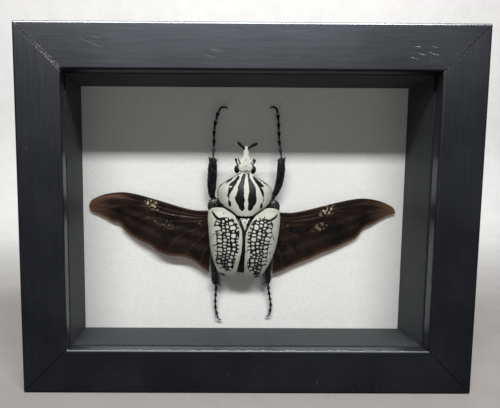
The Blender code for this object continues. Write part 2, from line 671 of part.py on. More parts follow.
def build_scutellum(material, parent):
    """The small three-cornered plate between the wing cases."""
    corner = (SCUTELLUM_HALF_WIDTH, SCUTELLUM_FRONT)
    tip = (0.0, SCUTELLUM_TIP)
    plan = rows_between([(-corner[0], corner[1]), tip], [corner, tip], *SCUTELLUM_GRID)
    top = wingcase_height(plan[..., 0], plan[..., 1])
    solid = sheet_mesh(raised(plan, top), raised(plan, top - WINGCASE_THICKNESS))
    add_piece("scutellum", solid, material, parent, smooth=True)


def build_body(material, parent):
    """Thorax and abdomen under the wing cases, with the lobe in front of each shoulder."""
    left = [(-across, along) for across, along in BODY_SIDE]
    plan = rows_between(left, BODY_SIDE, *BODY_GRID)
    share = np.abs(plan[..., 0]) / np.maximum(plan[:, -1:, 0], MERGE_DISTANCE)
    top = wingcase_height(plan[..., 0], plan[..., 1]) - BODY_BELOW_WINGCASE
    bottom = BODY_UNDERSIDE + BODY_KEEL_RISE * share**4
    bottom = np.minimum(bottom, top - BODY_LEAST_THICKNESS)
    trunk = sheet_mesh(raised(plan, top), raised(plan, bottom))
    x, y, z = SHOULDER_LOBE
    lobes = [ball_mesh((side * x, y, z), SHOULDER_LOBE_RADII) for side in (-1, 1)]
    add_piece("body", combine(trunk, lobes, "UNION"), material, parent, smooth=True)


def build_head(material, parent):
    """The head with its forked horn and two eyes, fused."""
    side = np.array(HEAD_SIDE)
    left = side * (-1, 1) + (HEAD_MIDLINE, 0)
    right = side + (HEAD_MIDLINE, 0)
    plan = rows_between(left, right, *HEAD_GRID, crowd=0.0)
    along = plan[..., 1]
    half_width = (plan[:, -1:, 0] - plan[:, :1, 0]) / 2
    share = np.abs(plan[..., 0] - HEAD_MIDLINE) / half_width
    dome = HEAD_DOME * np.minimum(half_width / HEAD_DOME_HALF_WIDTH, 1.0)
    top = through(HEAD_TOP, along) - dome * share**2
    bottom = through(HEAD_BOTTOM, along) + dome * share**2
    skull = sheet_mesh(raised(plan, top), raised(plan, bottom))
    extras = [limb_mesh(smooth_stations(prong, HORN_RINGS), LEG_SIDES) for prong in HORN_PRONGS.values()]
    extras += [ball_mesh((HEAD_MIDLINE + side * EYE[0], *EYE[1:]), EYE_RADII) for side in (-1, 1)]
    add_piece("head", combine(skull, extras, "UNION"), material, parent, smooth=True)


def build_antennae(material, parent):
    """The two short antennae, each with its club at the tip."""
    for name, stations in ANTENNAE.items():
        mesh = limb_mesh(smooth_stations(stations, ANTENNA_RINGS), ANTENNA_SIDES)
        add_piece(f"antenna_{name}", mesh, material, parent, smooth=True)


def build_hindwings(material, parent):
    """The two spread membranous wings: thin pleated sheets that droop to the card at their tips."""
    trailing = {"left": WING_TRAILING_LEFT, "right": WING_TRAILING_RIGHT}
    heights = {"left": WING_TRAILING_HEIGHT_LEFT, "right": WING_TRAILING_HEIGHT_RIGHT}
    columns = 2 * WING_PLEATS + 1
    chord = np.linspace(0, 1, columns)[None, :]
    span = np.linspace(0, 1, WING_ROWS)[:, None]
    root_pull = np.exp(-WING_ROOT_FADE * span) * (1 - span)
    for name, side in (("left", -1), ("right", 1)):
        plan = rows_between(WING_LEADING, trailing[name], WING_ROWS, columns, crowd=WING_CROWD)
        root_bend = trace(WING_ROOT, chord[0]) - plan[0]
        plan = (plan + root_bend[None] * root_pull[..., None]) * (side, 1)
        leading = through(WING_LEADING_HEIGHT, span)
        behind = through(heights[name], span)
        pleat = WING_PLEAT_HEIGHT * np.cos(2 * math.pi * WING_PLEATS * chord) * (1 - span**2)
        top = leading + (behind - leading) * chord + pleat * np.sin(math.pi * chord)
        solid = sheet_mesh(raised(plan, top), raised(plan, top - WING_THICKNESS))
        low, high = (pin_line(side, height) for height in WING_HOLE_HEIGHTS)
        hole = rod_mesh(low, high, PIN_HOLE_RADIUS, PIN_HOLE_RADIUS, PIN_SIDES)
        solid = combine(solid, [hole], "DIFFERENCE")
        add_piece(f"hindwing_{name}", solid, material, parent, smooth=True)


def mirrored(points):
    """The same points on the other side of the body."""
    return tuple((-point[0], *point[1:]) for point in points)


def leg_mesh(upper, foot, claw, spines, beads, scale):
    """One leg: thigh, shank, a foot of beads that widen towards their far ends, two claws and spines."""
    shares = [(bead + place) / beads for bead in range(beads) for place, _ in BEAD_STEPS]
    radii = FOOT_RADIUS * scale * np.array([size for _ in range(beads) for _, size in BEAD_STEPS])
    foot_rings = np.column_stack([trace(foot, shares), radii, radii * FOOT_FLATNESS])
    claw_line = trace(claw, np.linspace(CLAW_START, 1, len(CLAW_RADII)))
    first_claw = np.column_stack([claw_line, CLAW_RADII, CLAW_RADII])
    second_claw = first_claw + (0.0, 0.0, SECOND_CLAW_DROP, 0.0, 0.0)
    second_claw[0, 2] -= SECOND_CLAW_DROP
    shaft = np.concatenate([smooth_stations(upper, UPPER_LEG_RINGS), foot_rings, first_claw])
    extras = [limb_mesh(second_claw, CLAW_SIDES)]
    extras += [
        rod_mesh(root, tip, radius, SPINE_TIP_RADIUS, SPINE_SIDES) for root, tip, radius in spines
    ]
    return combine(limb_mesh(shaft, LEG_SIDES), extras, "UNION")


def build_legs(material, parent):
    """Six legs. The middle pair is alike on both sides, folded under the wings."""
    curves = {name: (upper, *FEET[name]) for name, upper in UPPER_LEGS.items()}
    curves["midleg_right"] = tuple(mirrored(curve) for curve in curves["midleg_left"])
    for name, (upper, foot, claw) in curves.items():
        pair = name.split("leg")[0]
        mesh = leg_mesh(upper, foot, claw, SPINES.get(name, ()), FOOT_BEADS[pair], FOOT_SCALE[pair])
        add_piece(name, mesh, material, parent, smooth=True)


def build_pins(material, parent):
    """The two short steel pins, each slanting through a wing into the card."""
    for name, side in (("left", -1), ("right", 1)):
        point, head = pin_line(side, PIN_POINT_HEIGHT), pin_line(side, PIN_HEAD[2])
        pin = rod_mesh(point, head, PIN_POINT_RADIUS, PIN_RADIUS, PIN_SIDES)
        add_piece(f"wing_pin_{name}", pin, material, parent)


def main():
    clear_scene()
    black_paint = make_material("black_paint", (0.012, 0.012, 0.014), 0.38)
    steel = make_material("steel", (0.6, 0.6, 0.6), 0.3, metallic=1.0)
    panels = {
        "glass": make_material("clear_glass", (0.95, 0.97, 0.97), 0.05, alpha=0.15),
        "card": make_material("white_card", (0.72, 0.72, 0.71), 0.9),
        "board": make_material("fibreboard", (0.22, 0.13, 0.07), 0.8),
        "liner": make_material("dark_liner", (0.03, 0.03, 0.032), 0.7),
    }
    ivory = make_material("ivory_shell", (0.66, 0.64, 0.55), 0.5)
    black_shell = make_material("black_shell", (0.012, 0.012, 0.014), 0.35)
    membrane = make_material("wing_membrane", (0.035, 0.018, 0.012), 0.3)

    build_rails(black_paint)
    build_panels(panels)
    build_tabs(steel)

    beetle = bpy.data.objects.new("beetle", None)
    bpy.context.scene.collection.objects.link(beetle)
    beetle.location = Vector(beetle_to_frame((0.0, 0.0, 0.0))) * METRES
    beetle.rotation_euler = (math.pi / 2, LEAN, 0.0)

    build_body(black_shell, beetle)
    build_pronotum(ivory, beetle)
    build_head(ivory, beetle)
    build_antennae(black_shell, beetle)
    build_scutellum(ivory, beetle)
    build_wingcases(ivory, beetle)
    build_hindwings(membrane, beetle)
    build_legs(black_shell, beetle)
    build_pins(steel, beetle)


main()
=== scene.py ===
"""The looks of a goliath beetle, pinned with spread wings in a black shadow-box frame behind glass.

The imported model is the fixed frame. Its rails, glass, inner walls, card, back board and tabs keep their
shapes and get finishes. The beetle and its pins are made again here, finer, in the places of their nodes.
Shapes are worked out in millimetres in the beetle's own axes: across the body, along it towards the
head, and out of the card. Pinning.to_frame stands them up in the frame and scales them to metres.
"""

import logging
import math
from dataclasses import dataclass, field
from enum import Enum

import bpy
import numpy as np
from mathutils import Matrix, Vector


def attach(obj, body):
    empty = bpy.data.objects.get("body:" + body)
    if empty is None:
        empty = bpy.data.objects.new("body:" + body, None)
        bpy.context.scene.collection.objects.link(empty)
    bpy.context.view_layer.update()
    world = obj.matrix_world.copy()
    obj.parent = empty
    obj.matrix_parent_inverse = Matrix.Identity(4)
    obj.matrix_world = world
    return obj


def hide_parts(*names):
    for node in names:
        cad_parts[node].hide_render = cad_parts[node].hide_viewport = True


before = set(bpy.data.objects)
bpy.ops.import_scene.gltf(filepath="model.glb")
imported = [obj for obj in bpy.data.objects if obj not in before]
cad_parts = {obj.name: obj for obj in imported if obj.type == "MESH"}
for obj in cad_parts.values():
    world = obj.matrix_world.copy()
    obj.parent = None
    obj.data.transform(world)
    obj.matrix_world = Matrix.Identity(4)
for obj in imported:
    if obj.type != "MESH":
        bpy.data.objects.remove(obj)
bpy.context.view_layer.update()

logger = logging.getLogger("framed_beetle")

Array = np.ndarray
Socket = bpy.types.NodeSocket
Triple = tuple[float, float, float]
Colour = Triple
Outline = tuple[tuple[float, ...], ...]

METRES = 0.001
UP = (0.0, 0.0, 1.0)
WELD_DECIMALS = 4
TINY = 1e-9
LEAST_HALF_WIDTH = 0.001
SHARP_ANGLE = math.radians(50)
FAR = 9.0


class Side(Enum):
    """The two sides of the beetle, as the sign of the distance across its body."""

    LEFT = -1
    RIGHT = 1

    @property
    def label(self) -> str:
        """The side's word in a piece's name."""
        return self.name.lower()


class Grain(Enum):
    """The way that brush marks run on a rail."""

    LEVEL = (45.0, 900.0, 900.0)
    UPRIGHT = (900.0, 900.0, 45.0)


@dataclass(frozen=True)
class Pinning:
    """Where and how the beetle is pinned in the frame, in millimetres."""

    waist_x: float = -0.7
    waist_z: float = 97.5
    card_face: float = 14.5
    lean: float = math.radians(1.2)

    def to_frame(self, points: Array) -> Array:
        """Points in the frame, in metres: turned by the lean, stood up on the card and scaled.

        Args:
            points: Points as (across, along, height), shape (n, 3).

        Returns:
            The same points as (x, y, z), shape (n, 3).
        """
        across, along, height = points.T
        x = self.waist_x + across * math.cos(self.lean) + along * math.sin(self.lean)
        z = self.waist_z - across * math.sin(self.lean) + along * math.cos(self.lean)
        return np.column_stack([x, self.card_face - height, z]) * METRES


PINNING = Pinning()


def through(points: Outline | Array, at: Array | float) -> Array:
    """Values on a smooth curve: a cubic between each pair of points, with the slopes of their neighbours.

    Args:
        points: Rows of (position, value, ...), in rising positions.
        at: The positions to read.

    Returns:
        The values at those positions, without the last axis where there is one value.
    """
    points = np.asarray(points, float)
    knots, values = points[:, 0], points[:, 1:]
    at = np.clip(np.asarray(at, float), knots[0], knots[-1])
    slopes = np.gradient(values, knots, axis=0)
    index = np.clip(np.searchsorted(knots, at, side="right") - 1, 0, len(knots) - 2)
    width = (knots[index + 1] - knots[index])[..., None]
    step = (at[..., None] - knots[index][..., None]) / width
    rest = 1 - step
    found = (1 + 2 * step) * rest**2 * values[index] + step * rest**2 * width * slopes[index]
    found += step**2 * (3 - 2 * step) * values[index + 1] - step**2 * rest * width * slopes[index + 1]
    return found[..., 0] if found.shape[-1] == 1 else found


def trace(points: Outline | Array, share: Array) -> Array:
    """Points of a smooth curve through control points, at shares of its length.

    Args:
        points: The control points, one row each.
        share: Shares of the length, from 0 to 1.

    Returns:
        One row for each share.
    """
    points = np.asarray(points, float)
    steps = np.linalg.norm(np.diff(points[:, :3], axis=0), axis=1)
    length = np.concatenate([[0.0], np.cumsum(steps)])
    return through(np.column_stack([length / length[-1], points]), share)


def ease(low: float, high: float, value: Array) -> Array:
    """0 below low, 1 above high and a smooth rise between."""
    step = np.clip((value - low) / (high - low), 0.0, 1.0)
    return step * step * (3 - 2 * step)


def spread(count: int, crowd: float) -> Array:
    """Shares from 0 to 1: an even spacing mixed with a cosine one, which lies closest at both ends."""
    share = np.linspace(0, 1, count)
    return (1 - crowd) * share + crowd * (1 - np.cos(math.pi * share)) / 2


def rows_between(first: Outline, last: Outline, rows: int, columns: int, crowd: float = 0.5) -> Array:
    """A grid of plan points: each row runs straight from one edge curve to the other.

    Args:
        first: The edge where each row starts.
        last: The edge where each row ends.
        rows: The number of rows along the edges.
        columns: The number of points in a row.
        crowd: How strongly rows and columns lie closer together at their ends, from 0 to 1.

    Returns:
        Plan points, shape (rows, columns, 2).
    """
    share = spread(rows, crowd)
    start = trace(first, share)[:, None]
    end = trace(last, share)[:, None]
    return start + (end - start) * spread(columns, crowd)[None, :, None]


def raised(plan: Array, height: Array) -> Array:
    """Plan points with a height as the third coordinate."""
    return np.concatenate([plan, height[..., None]], axis=-1)


def unit_rows(vectors: Array) -> Array:
    """The vectors, each at length 1."""
    return vectors / np.maximum(np.linalg.norm(vectors, axis=1)[:, None], TINY)


def way_out(plan: Array) -> Array:
    """How far out each point of a grid lies: 0 on the midline and 1 at the right-hand end of its row."""
    return np.abs(plan[..., 0]) / np.maximum(plan[:, -1:, 0], LEAST_HALF_WIDTH)


def ripple(points: Array, wave: float, seed: int) -> Array:
    """Smooth numbers between about -1 and 1: the mean of five sines that run in seeded directions.

    Args:
        points: Points with two or three coordinates in the last axis.
        wave: The typical wavelength, in the points' unit.
        seed: The seed of the directions and phases.

    Returns:
        One number for each point.
    """
    chance = np.random.default_rng(seed)
    directions = chance.normal(size=(5, points.shape[-1]))
    directions /= np.linalg.norm(directions, axis=1)[:, None]
    turns = points @ (directions * (2 * math.pi / wave * chance.uniform(0.6, 1.6, (5, 1)))).T
    return np.sin(turns + chance.uniform(0, 2 * math.pi, 5)).mean(axis=-1) * 1.8


def gaps_to_path(points: Array, path: Array) -> tuple[Array, Array]:
    """Distance from each point to each straight piece of a path, and the nearest share of that piece.

    Args:
        points: Plan points, shape (n, 2).
        path: Points of the path, of which the first two columns are used.

    Returns:
        Distances and shares, both of shape (n, pieces).
    """
    start, along = path[:-1, :2], np.diff(path[:, :2], axis=0)
    offset = points[:, None] - start[None]
    share = np.clip((offset * along).sum(-1) / np.maximum((along**2).sum(-1), TINY), 0, 1)
    return np.linalg.norm(offset - share[..., None] * along, axis=-1), share


def gap_to(plan: Array, path: Array) -> Array:
    """Distance from each plan point, shape (..., 2), to a path."""
    return gaps_to_path(plan.reshape(-1, 2), path)[0].min(axis=1).reshape(plan.shape[:-1])


def stroke(plan: Array, path: Outline, samples: int = 24) -> Array:
    """Signed distance to a drawn line: the distance to its smooth path less its half width there.

    Args:
        plan: Plan points, shape (..., 2).
        path: Rows of (across, along, half width).
        samples: How many points the smooth path gets.

    Returns:
        The distance at each point, below zero inside the line.
    """
    line = trace(path, np.linspace(0, 1, samples))
    gap, share = gaps_to_path(plan.reshape(-1, 2), line)
    half_width = line[:-1, 2] + share * np.diff(line[:, 2])
    return (gap - half_width).min(axis=1).reshape(plan.shape[:-1])


def region(plan: Array, outline: Outline, samples: int = 64) -> Array:
    """Signed distance to a closed smooth outline, below zero inside, by counting the sides it crosses.

    Args:
        plan: Plan points, shape (..., 2).
        outline: Corners of the outline in order; the last joins the first.
        samples: How many points the smooth outline gets.

    Returns:
        The distance at each point.
    """
    ring = trace((*outline, outline[0]), np.linspace(0, 1, samples))
    points = plan.reshape(-1, 2)
    gap = gaps_to_path(points, ring)[0].min(axis=1)
    low, high = ring[:-1], ring[1:]
    across, along = points[:, :1], points[:, 1:]
    spans = (low[:, 1] > along) != (high[:, 1] > along)
    rise = np.where(np.abs(high[:, 1] - low[:, 1]) < TINY, TINY, high[:, 1] - low[:, 1])
    crossing = low[:, 0] + (along - low[:, 1]) * (high[:, 0] - low[:, 0]) / rise
    inside = (spans & (across < crossing)).sum(axis=1) % 2 == 1
    return np.where(inside, -gap, gap).reshape(plan.shape[:-1])


def rounding(plan: Array, edge: Array, radius: float) -> Array:
    """How far a surface drops towards a round edge: r - sqrt(r² - (r - d)²) at a distance d < r from it.

    Args:
        plan: Plan points, shape (..., 2).
        edge: The edge's path, closed.
        radius: The edge's radius r.

    Returns:
        The drop at each point, from the radius at the edge to 0 inside.
    """
    gap = gap_to(plan, edge)
    inward = np.clip(radius - gap, 0, radius)
    return radius - np.sqrt(np.maximum(radius**2 - inward**2, 0))


def rim_of(plan: Array) -> Array:
    """The closed path round the border of a grid of plan points."""
    return np.concatenate([plan[0], plan[1:, -1], plan[-1, -2::-1], plan[-2::-1, 0]])


@dataclass
class Patch:
    """A closed surface in the beetle's axes, with numbers for each point that its finish reads."""

    points: Array
    faces: list[Array]
    values: dict[str, Array] = field(default_factory=dict)

    def welded(self) -> "Patch":
        """The patch with coinciding points merged, collapsed faces dropped and all faces turned outwards."""
        keys = np.round(self.points, WELD_DECIMALS)
        _, first, index = np.unique(keys, axis=0, return_index=True, return_inverse=True)
        kept: list[Array] = []
        for faces in self.faces:
            corners = index.reshape(-1)[faces]
            same = corners == np.roll(corners, 1, axis=1)
            doubles = same.sum(axis=1)
            kept.append(corners[doubles == 0])
            if faces.shape[1] == 4:
                kept.append(corners[doubles == 1][~same[doubles == 1]].reshape(-1, 3))
        values = {key: value[first] for key, value in self.values.items()}
        found = Patch(self.points[first], [faces for faces in kept if len(faces)], values)
        if found.volume() < 0:
            found.faces = [faces[:, ::-1] for faces in found.faces]
        return found

    def volume(self) -> float:
        """The signed volume: a sixth of the triple product of each triangle's corners, added up."""
        total = 0.0
        for faces in self.faces:
            for second in range(1, faces.shape[1] - 1):
                a, b, c = (self.points[faces[:, corner]] for corner in (0, second, second + 1))
                total += float((a * np.cross(b, c)).sum()) / 6
        return total

    def marked(self, **numbers: float) -> "Patch":
        """The patch with the same number at all its points, for each name given."""
        for key, number in numbers.items():
            self.values[key] = np.full(len(self.points), float(number))
        return self


def joined(patches: list[Patch]) -> Patch:
    """One patch of several, each with its own points. Numbers that one lacks are 0 there."""
    names = sorted({name for patch in patches for name in patch.values})
    faces: list[Array] = []
    start = 0
    for patch in patches:
        faces += [part + start for part in patch.faces]
        start += len(patch.points)
    values = {
        name: np.concatenate([p.values.get(name, np.zeros(len(p.points))) for p in patches])
        for name in names
    }
    return Patch(np.concatenate([patch.points for patch in patches]), faces, values)


def closed_sheet(top: Array, bottom: Array, values: dict[str, Array] | None = None) -> Patch:
    """The closed solid between two grids of the same layout, with a band of faces round their borders.

    Args:
        top: The upper grid, shape (rows, columns, 3).
        bottom: The lower grid, of the same shape.
        values: Numbers on the grid, which both grids take.

    Returns:
        The welded patch.
    """
    rows, columns = top.shape[:2]
    index = np.arange(rows * columns).reshape(rows, columns)
    quads = np.stack([index[:-1, :-1], index[1:, :-1], index[1:, 1:], index[:-1, 1:]], axis=-1)
    quads = quads.reshape(-1, 4)
    rim = np.concatenate([index[0], index[1:, -1], index[-1, -2::-1], index[-2:0:-1, 0]])
    after = np.roll(rim, -1)
    under = rows * columns
    sides = np.stack([rim, after, after + under, rim + under], axis=-1)
    faces = np.concatenate([quads, quads[:, ::-1] + under, sides])
    points = np.concatenate([top.reshape(-1, 3), bottom.reshape(-1, 3)])
    doubled = {key: np.tile(value.reshape(-1), 2) for key, value in (values or {}).items()}
    return Patch(points, [faces], doubled).welded()


def tube(stations: Outline | Array, sides: int, point: float = 0.6) -> Patch:
    """A closed tube of oval rings at right angles to a path, with a point at each end.

    A ring's points are centre + side * half width * cos(turn) + up * half height * sin(turn).

    Args:
        stations: Rows of (across, along, height, half width, half height).
        sides: The number of points in a ring.
        point: How far the end points stand out, in half heights.

    Returns:
        The welded patch, with the share of its length as "share".
    """
    stations = np.asarray(stations, float)
    centre, half_width, half_height = stations[:, :3], stations[:, 3], stations[:, 4]
    along = unit_rows(np.gradient(centre, axis=0))
    side = unit_rows(np.cross(along, UP))
    up = np.cross(side, along)
    turn = np.linspace(0, 2 * math.pi, sides, endpoint=False)
    rings = (
        centre[:, None]
        + side[:, None] * (half_width[:, None] * np.cos(turn))[..., None]
        + up[:, None] * (half_height[:, None] * np.sin(turn))[..., None]
    )
    count = len(stations)
    tips = [
        centre[0] - along[0] * half_height[0] * point,
        centre[-1] + along[-1] * half_height[-1] * point,
    ]
    points = np.concatenate([rings.reshape(-1, 3), tips])
    corner = np.arange(sides)
    after = (corner + 1) % sides
    low = (np.arange(count - 1) * sides)[:, None]
    quads = np.stack([low + corner, low + after, low + sides + after, low + sides + corner], axis=-1)
    last = (count - 1) * sides
    ends = np.concatenate([
        np.stack([after, corner, np.full(sides, count * sides)], axis=-1),
        np.stack([last + corner, last + after, np.full(sides, count * sides + 1)], axis=-1),
    ])
    share = np.concatenate([np.repeat(np.linspace(0, 1, count), sides), [0.0, 1.0]])
    return Patch(points, [quads.reshape(-1, 4), ends], {"share": share}).welded()


def smooth_tube(stations: Outline, rings: int, sides: int) -> Patch:
    """A tube along the smooth curve through a few stations."""
    return tube(trace(stations, np.linspace(0, 1, rings)), sides)


def ball(centre: Triple, radii: Triple, rings: int = 24) -> Patch:
    """An ellipsoid: centre + radii * (cos lat cos turn, cos lat sin turn, sin lat)."""
    lat = np.linspace(-math.pi / 2, math.pi / 2, rings + 1)[:, None]
    turn = np.linspace(0, 2 * math.pi, 2 * rings + 1)[None, :]
    unit = np.stack([np.cos(lat) * np.cos(turn), np.cos(lat) * np.sin(turn), np.sin(lat) + 0 * turn], axis=-1)
    unit[:, -1] = unit[:, 0]
    unit[0], unit[-1] = (0.0, 0.0, -1.0), (0.0, 0.0, 1.0)
    index = np.arange(unit.shape[0] * unit.shape[1]).reshape(unit.shape[:2])
    quads = np.stack([index[:-1, :-1], index[:-1, 1:], index[1:, 1:], index[1:, :-1]], axis=-1)
    points = np.asarray(centre) + np.asarray(radii) * unit
    return Patch(points.reshape(-1, 3), [quads.reshape(-1, 4)]).welded()


def bristles(roots: Array, tips: Array, radius: Array | float, bend: Array | None = None) -> Patch:
    """Many thin hairs, each a three-sided spike in two lengths: root ring, middle ring and tip.

    Args:
        roots: Where the hairs start, shape (n, 3).
        tips: Where they end, shape (n, 3).
        radius: The radius at the root.
        bend: How far the middle of each hair is moved aside, shape (n, 3).

    Returns:
        One patch of all the hairs, with "hair" at 1.
    """
    count = len(roots)
    along = unit_rows(tips - roots)
    steep = np.abs(along[:, 2:]) > 0.9
    side = unit_rows(np.cross(along, np.where(steep, (1.0, 0.0, 0.0), UP)))
    up = np.cross(side, along)
    turn = np.array([0.0, 2.0, 4.0]) * math.pi / 3
    ring = side[:, None] * np.cos(turn)[:, None] + up[:, None] * np.sin(turn)[:, None]
    ring = ring * np.broadcast_to(np.asarray(radius, float), (count,))[:, None, None]
    middle = (roots + tips) / 2 + (0 if bend is None else bend)
    points = np.concatenate([roots[:, None] + ring, middle[:, None] + ring * 0.7, tips[:, None]], axis=1)
    base = (np.arange(count) * 7)[:, None, None]
    quads = np.array([(0, 1, 4, 3), (1, 2, 5, 4), (2, 0, 3, 5)])[None] + base
    ends = np.array([(3, 4, 6), (4, 5, 6), (5, 3, 6), (2, 1, 0)])[None] + base
    patch = Patch(points.reshape(-1, 3), [quads.reshape(-1, 4), ends.reshape(-1, 3)]).marked(hair=1.0)
    if patch.volume() < 0:
        patch.faces = [faces[:, ::-1] for faces in patch.faces]
    return patch


def put_in_frame(
    name: str, patch: Patch, finish: bpy.types.Material, stands_for: tuple[str, ...]
) -> bpy.types.Object:
    """Makes a patch a finished piece of the object.

    Args:
        name: The piece's name.
        patch: Its shape, in the beetle's axes.
        finish: Its material.
        stands_for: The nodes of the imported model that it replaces.

    Returns:
        The new object, at the origin, riding on the only body.
    """
    mesh = bpy.data.meshes.new(name)
    faces = [row for part in patch.faces for row in part.tolist()]
    mesh.from_pydata(PINNING.to_frame(patch.points).tolist(), [], faces)
    for key, value in patch.values.items():
        attribute = mesh.attributes.new(key, "FLOAT", "POINT")
        attribute.data.foreach_set("value", value.astype(np.float32))
    mesh.shade_smooth()
    mesh.set_sharp_from_angle(angle=SHARP_ANGLE)
    mesh.materials.append(finish)
    piece = bpy.data.objects.new(name, mesh)
    bpy.context.scene.collection.objects.link(piece)
    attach(piece, "root")
    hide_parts(*stands_for)
    logger.info("%s: %d faces, replaces %s", name, len(faces), ", ".join(stands_for))
    return piece


class Recipe:
    """A node material in the making. Each method adds a node and gives its main output."""

    def __init__(self, name: str) -> None:
        """Starts an empty material.

        Args:
            name: The material's name.
        """
        self.material = bpy.data.materials.new(name)
        self.material.use_nodes = True
        self.tree = self.material.node_tree
        self.tree.nodes.clear()

    def feed(self, socket: Socket, value: object) -> None:
        """Links a node's output to a socket, or sets the socket to a number or colour."""
        if isinstance(value, Socket):
            self.tree.links.new(value, socket)
        elif socket.type == "RGBA":
            socket.default_value = (*value, 1.0)
        else:
            socket.default_value = value

    def node(self, kind: str, inputs: dict[str | int, object], **settings: object) -> bpy.types.Node:
        """Adds a node.

        Args:
            kind: The node's type.
            inputs: Values or outputs for its sockets, by name or number.
            **settings: The node's own settings.

        Returns:
            The node.
        """
        node = self.tree.nodes.new(kind)
        for key, value in settings.items():
            setattr(node, key, value)
        for key, value in inputs.items():
            self.feed(node.inputs[key], value)
        return node

    def place(self, scale: Triple | float, lean: float = 0.0) -> Socket:
        """Object coordinates times a scale, in steps per metre, leant about the y axis."""
        where = self.node("ShaderNodeTexCoord", {}).outputs["Object"]
        stretch = scale if isinstance(scale, tuple) else (scale, scale, scale)
        if lean:
            leant = self.node("ShaderNodeMapping", {"Vector": where, "Rotation": (0.0, lean, 0.0)})
            where = leant.outputs["Vector"]
        return self.node("ShaderNodeMapping", {"Vector": where, "Scale": stretch}).outputs["Vector"]

    def number(self, name: str) -> Socket:
        """A number that the mesh holds for each point."""
        return self.node("ShaderNodeAttribute", {}, attribute_name=name).outputs["Fac"]

    def noise(self, where: Socket, detail: float = 3.0, rough: float = 0.5) -> Socket:
        """Cloudy noise from 0 to 1, with features one step across."""
        inputs = {"Vector": where, "Scale": 1.0, "Detail": detail, "Roughness": rough}
        return self.node("ShaderNodeTexNoise", inputs).outputs["Fac"]

    def cells(self, where: Socket, edges: bool = False) -> Socket:
        """Cells one step across: the distance to their centres, or to their edges."""
        feature = "DISTANCE_TO_EDGE" if edges else "F1"
        inputs = {"Vector": where, "Scale": 1.0}
        return self.node("ShaderNodeTexVoronoi", inputs, feature=feature).outputs["Distance"]

    def math(self, operation: str, first: object, second: object = 0.0) -> Socket:
        """One step of arithmetic."""
        return self.node("ShaderNodeMath", {0: first, 1: second}, operation=operation).outputs[0]

    def rise(self, value: object, low: float, high: float, start: float = 0.0, end: float = 1.0) -> Socket:
        """A smooth rise from start, where the value is low, to end, where it is high."""
        inputs = {"Value": value, "From Min": low, "From Max": high, "To Min": start, "To Max": end}
        return self.node("ShaderNodeMapRange", inputs, interpolation_type="SMOOTHSTEP").outputs["Result"]

    def blend(self, share: object, first: object, second: object) -> Socket:
        """The first colour where the share is 0 and the second where it is 1."""
        inputs = {0: share, 6: first, 7: second}
        return self.node("ShaderNodeMix", inputs, data_type="RGBA").outputs[2]

    def bump(self, height: object, depth: float, under: object | None = None) -> Socket:
        """A bumped normal, with the bumps' depth in metres."""
        inputs: dict[str | int, object] = {"Height": height, "Distance": depth, "Strength": 1.0}
        if under is not None:
            inputs["Normal"] = under
        return self.node("ShaderNodeBump", inputs).outputs["Normal"]

    def surface(self, inputs: dict[str | int, object]) -> Socket:
        """The Principled shader with these inputs."""
        return self.node("ShaderNodeBsdfPrincipled", inputs).outputs["BSDF"]

    def done(self, shader: Socket) -> bpy.types.Material:
        """Links the shader to the output and gives the material."""
        self.node("ShaderNodeOutputMaterial", {"Surface": shader})
        return self.material


@dataclass(frozen=True)
class Knock:
    """A patch of short gouges in the paint: its middle and its reach, across and up the frame, in metres.

    The depth is a share of the deepest gouges.
    """

    x: float
    z: float
    reach_x: float
    reach_z: float
    depth: float


KNOCKS = (
    Knock(0.0906, 0.1850, 0.0100, 0.0055, 1.0),
    Knock(-0.0830, 0.1900, 0.0080, 0.0040, 0.25),
    Knock(-0.0200, 0.1850, 0.0060, 0.0030, 0.35),
)


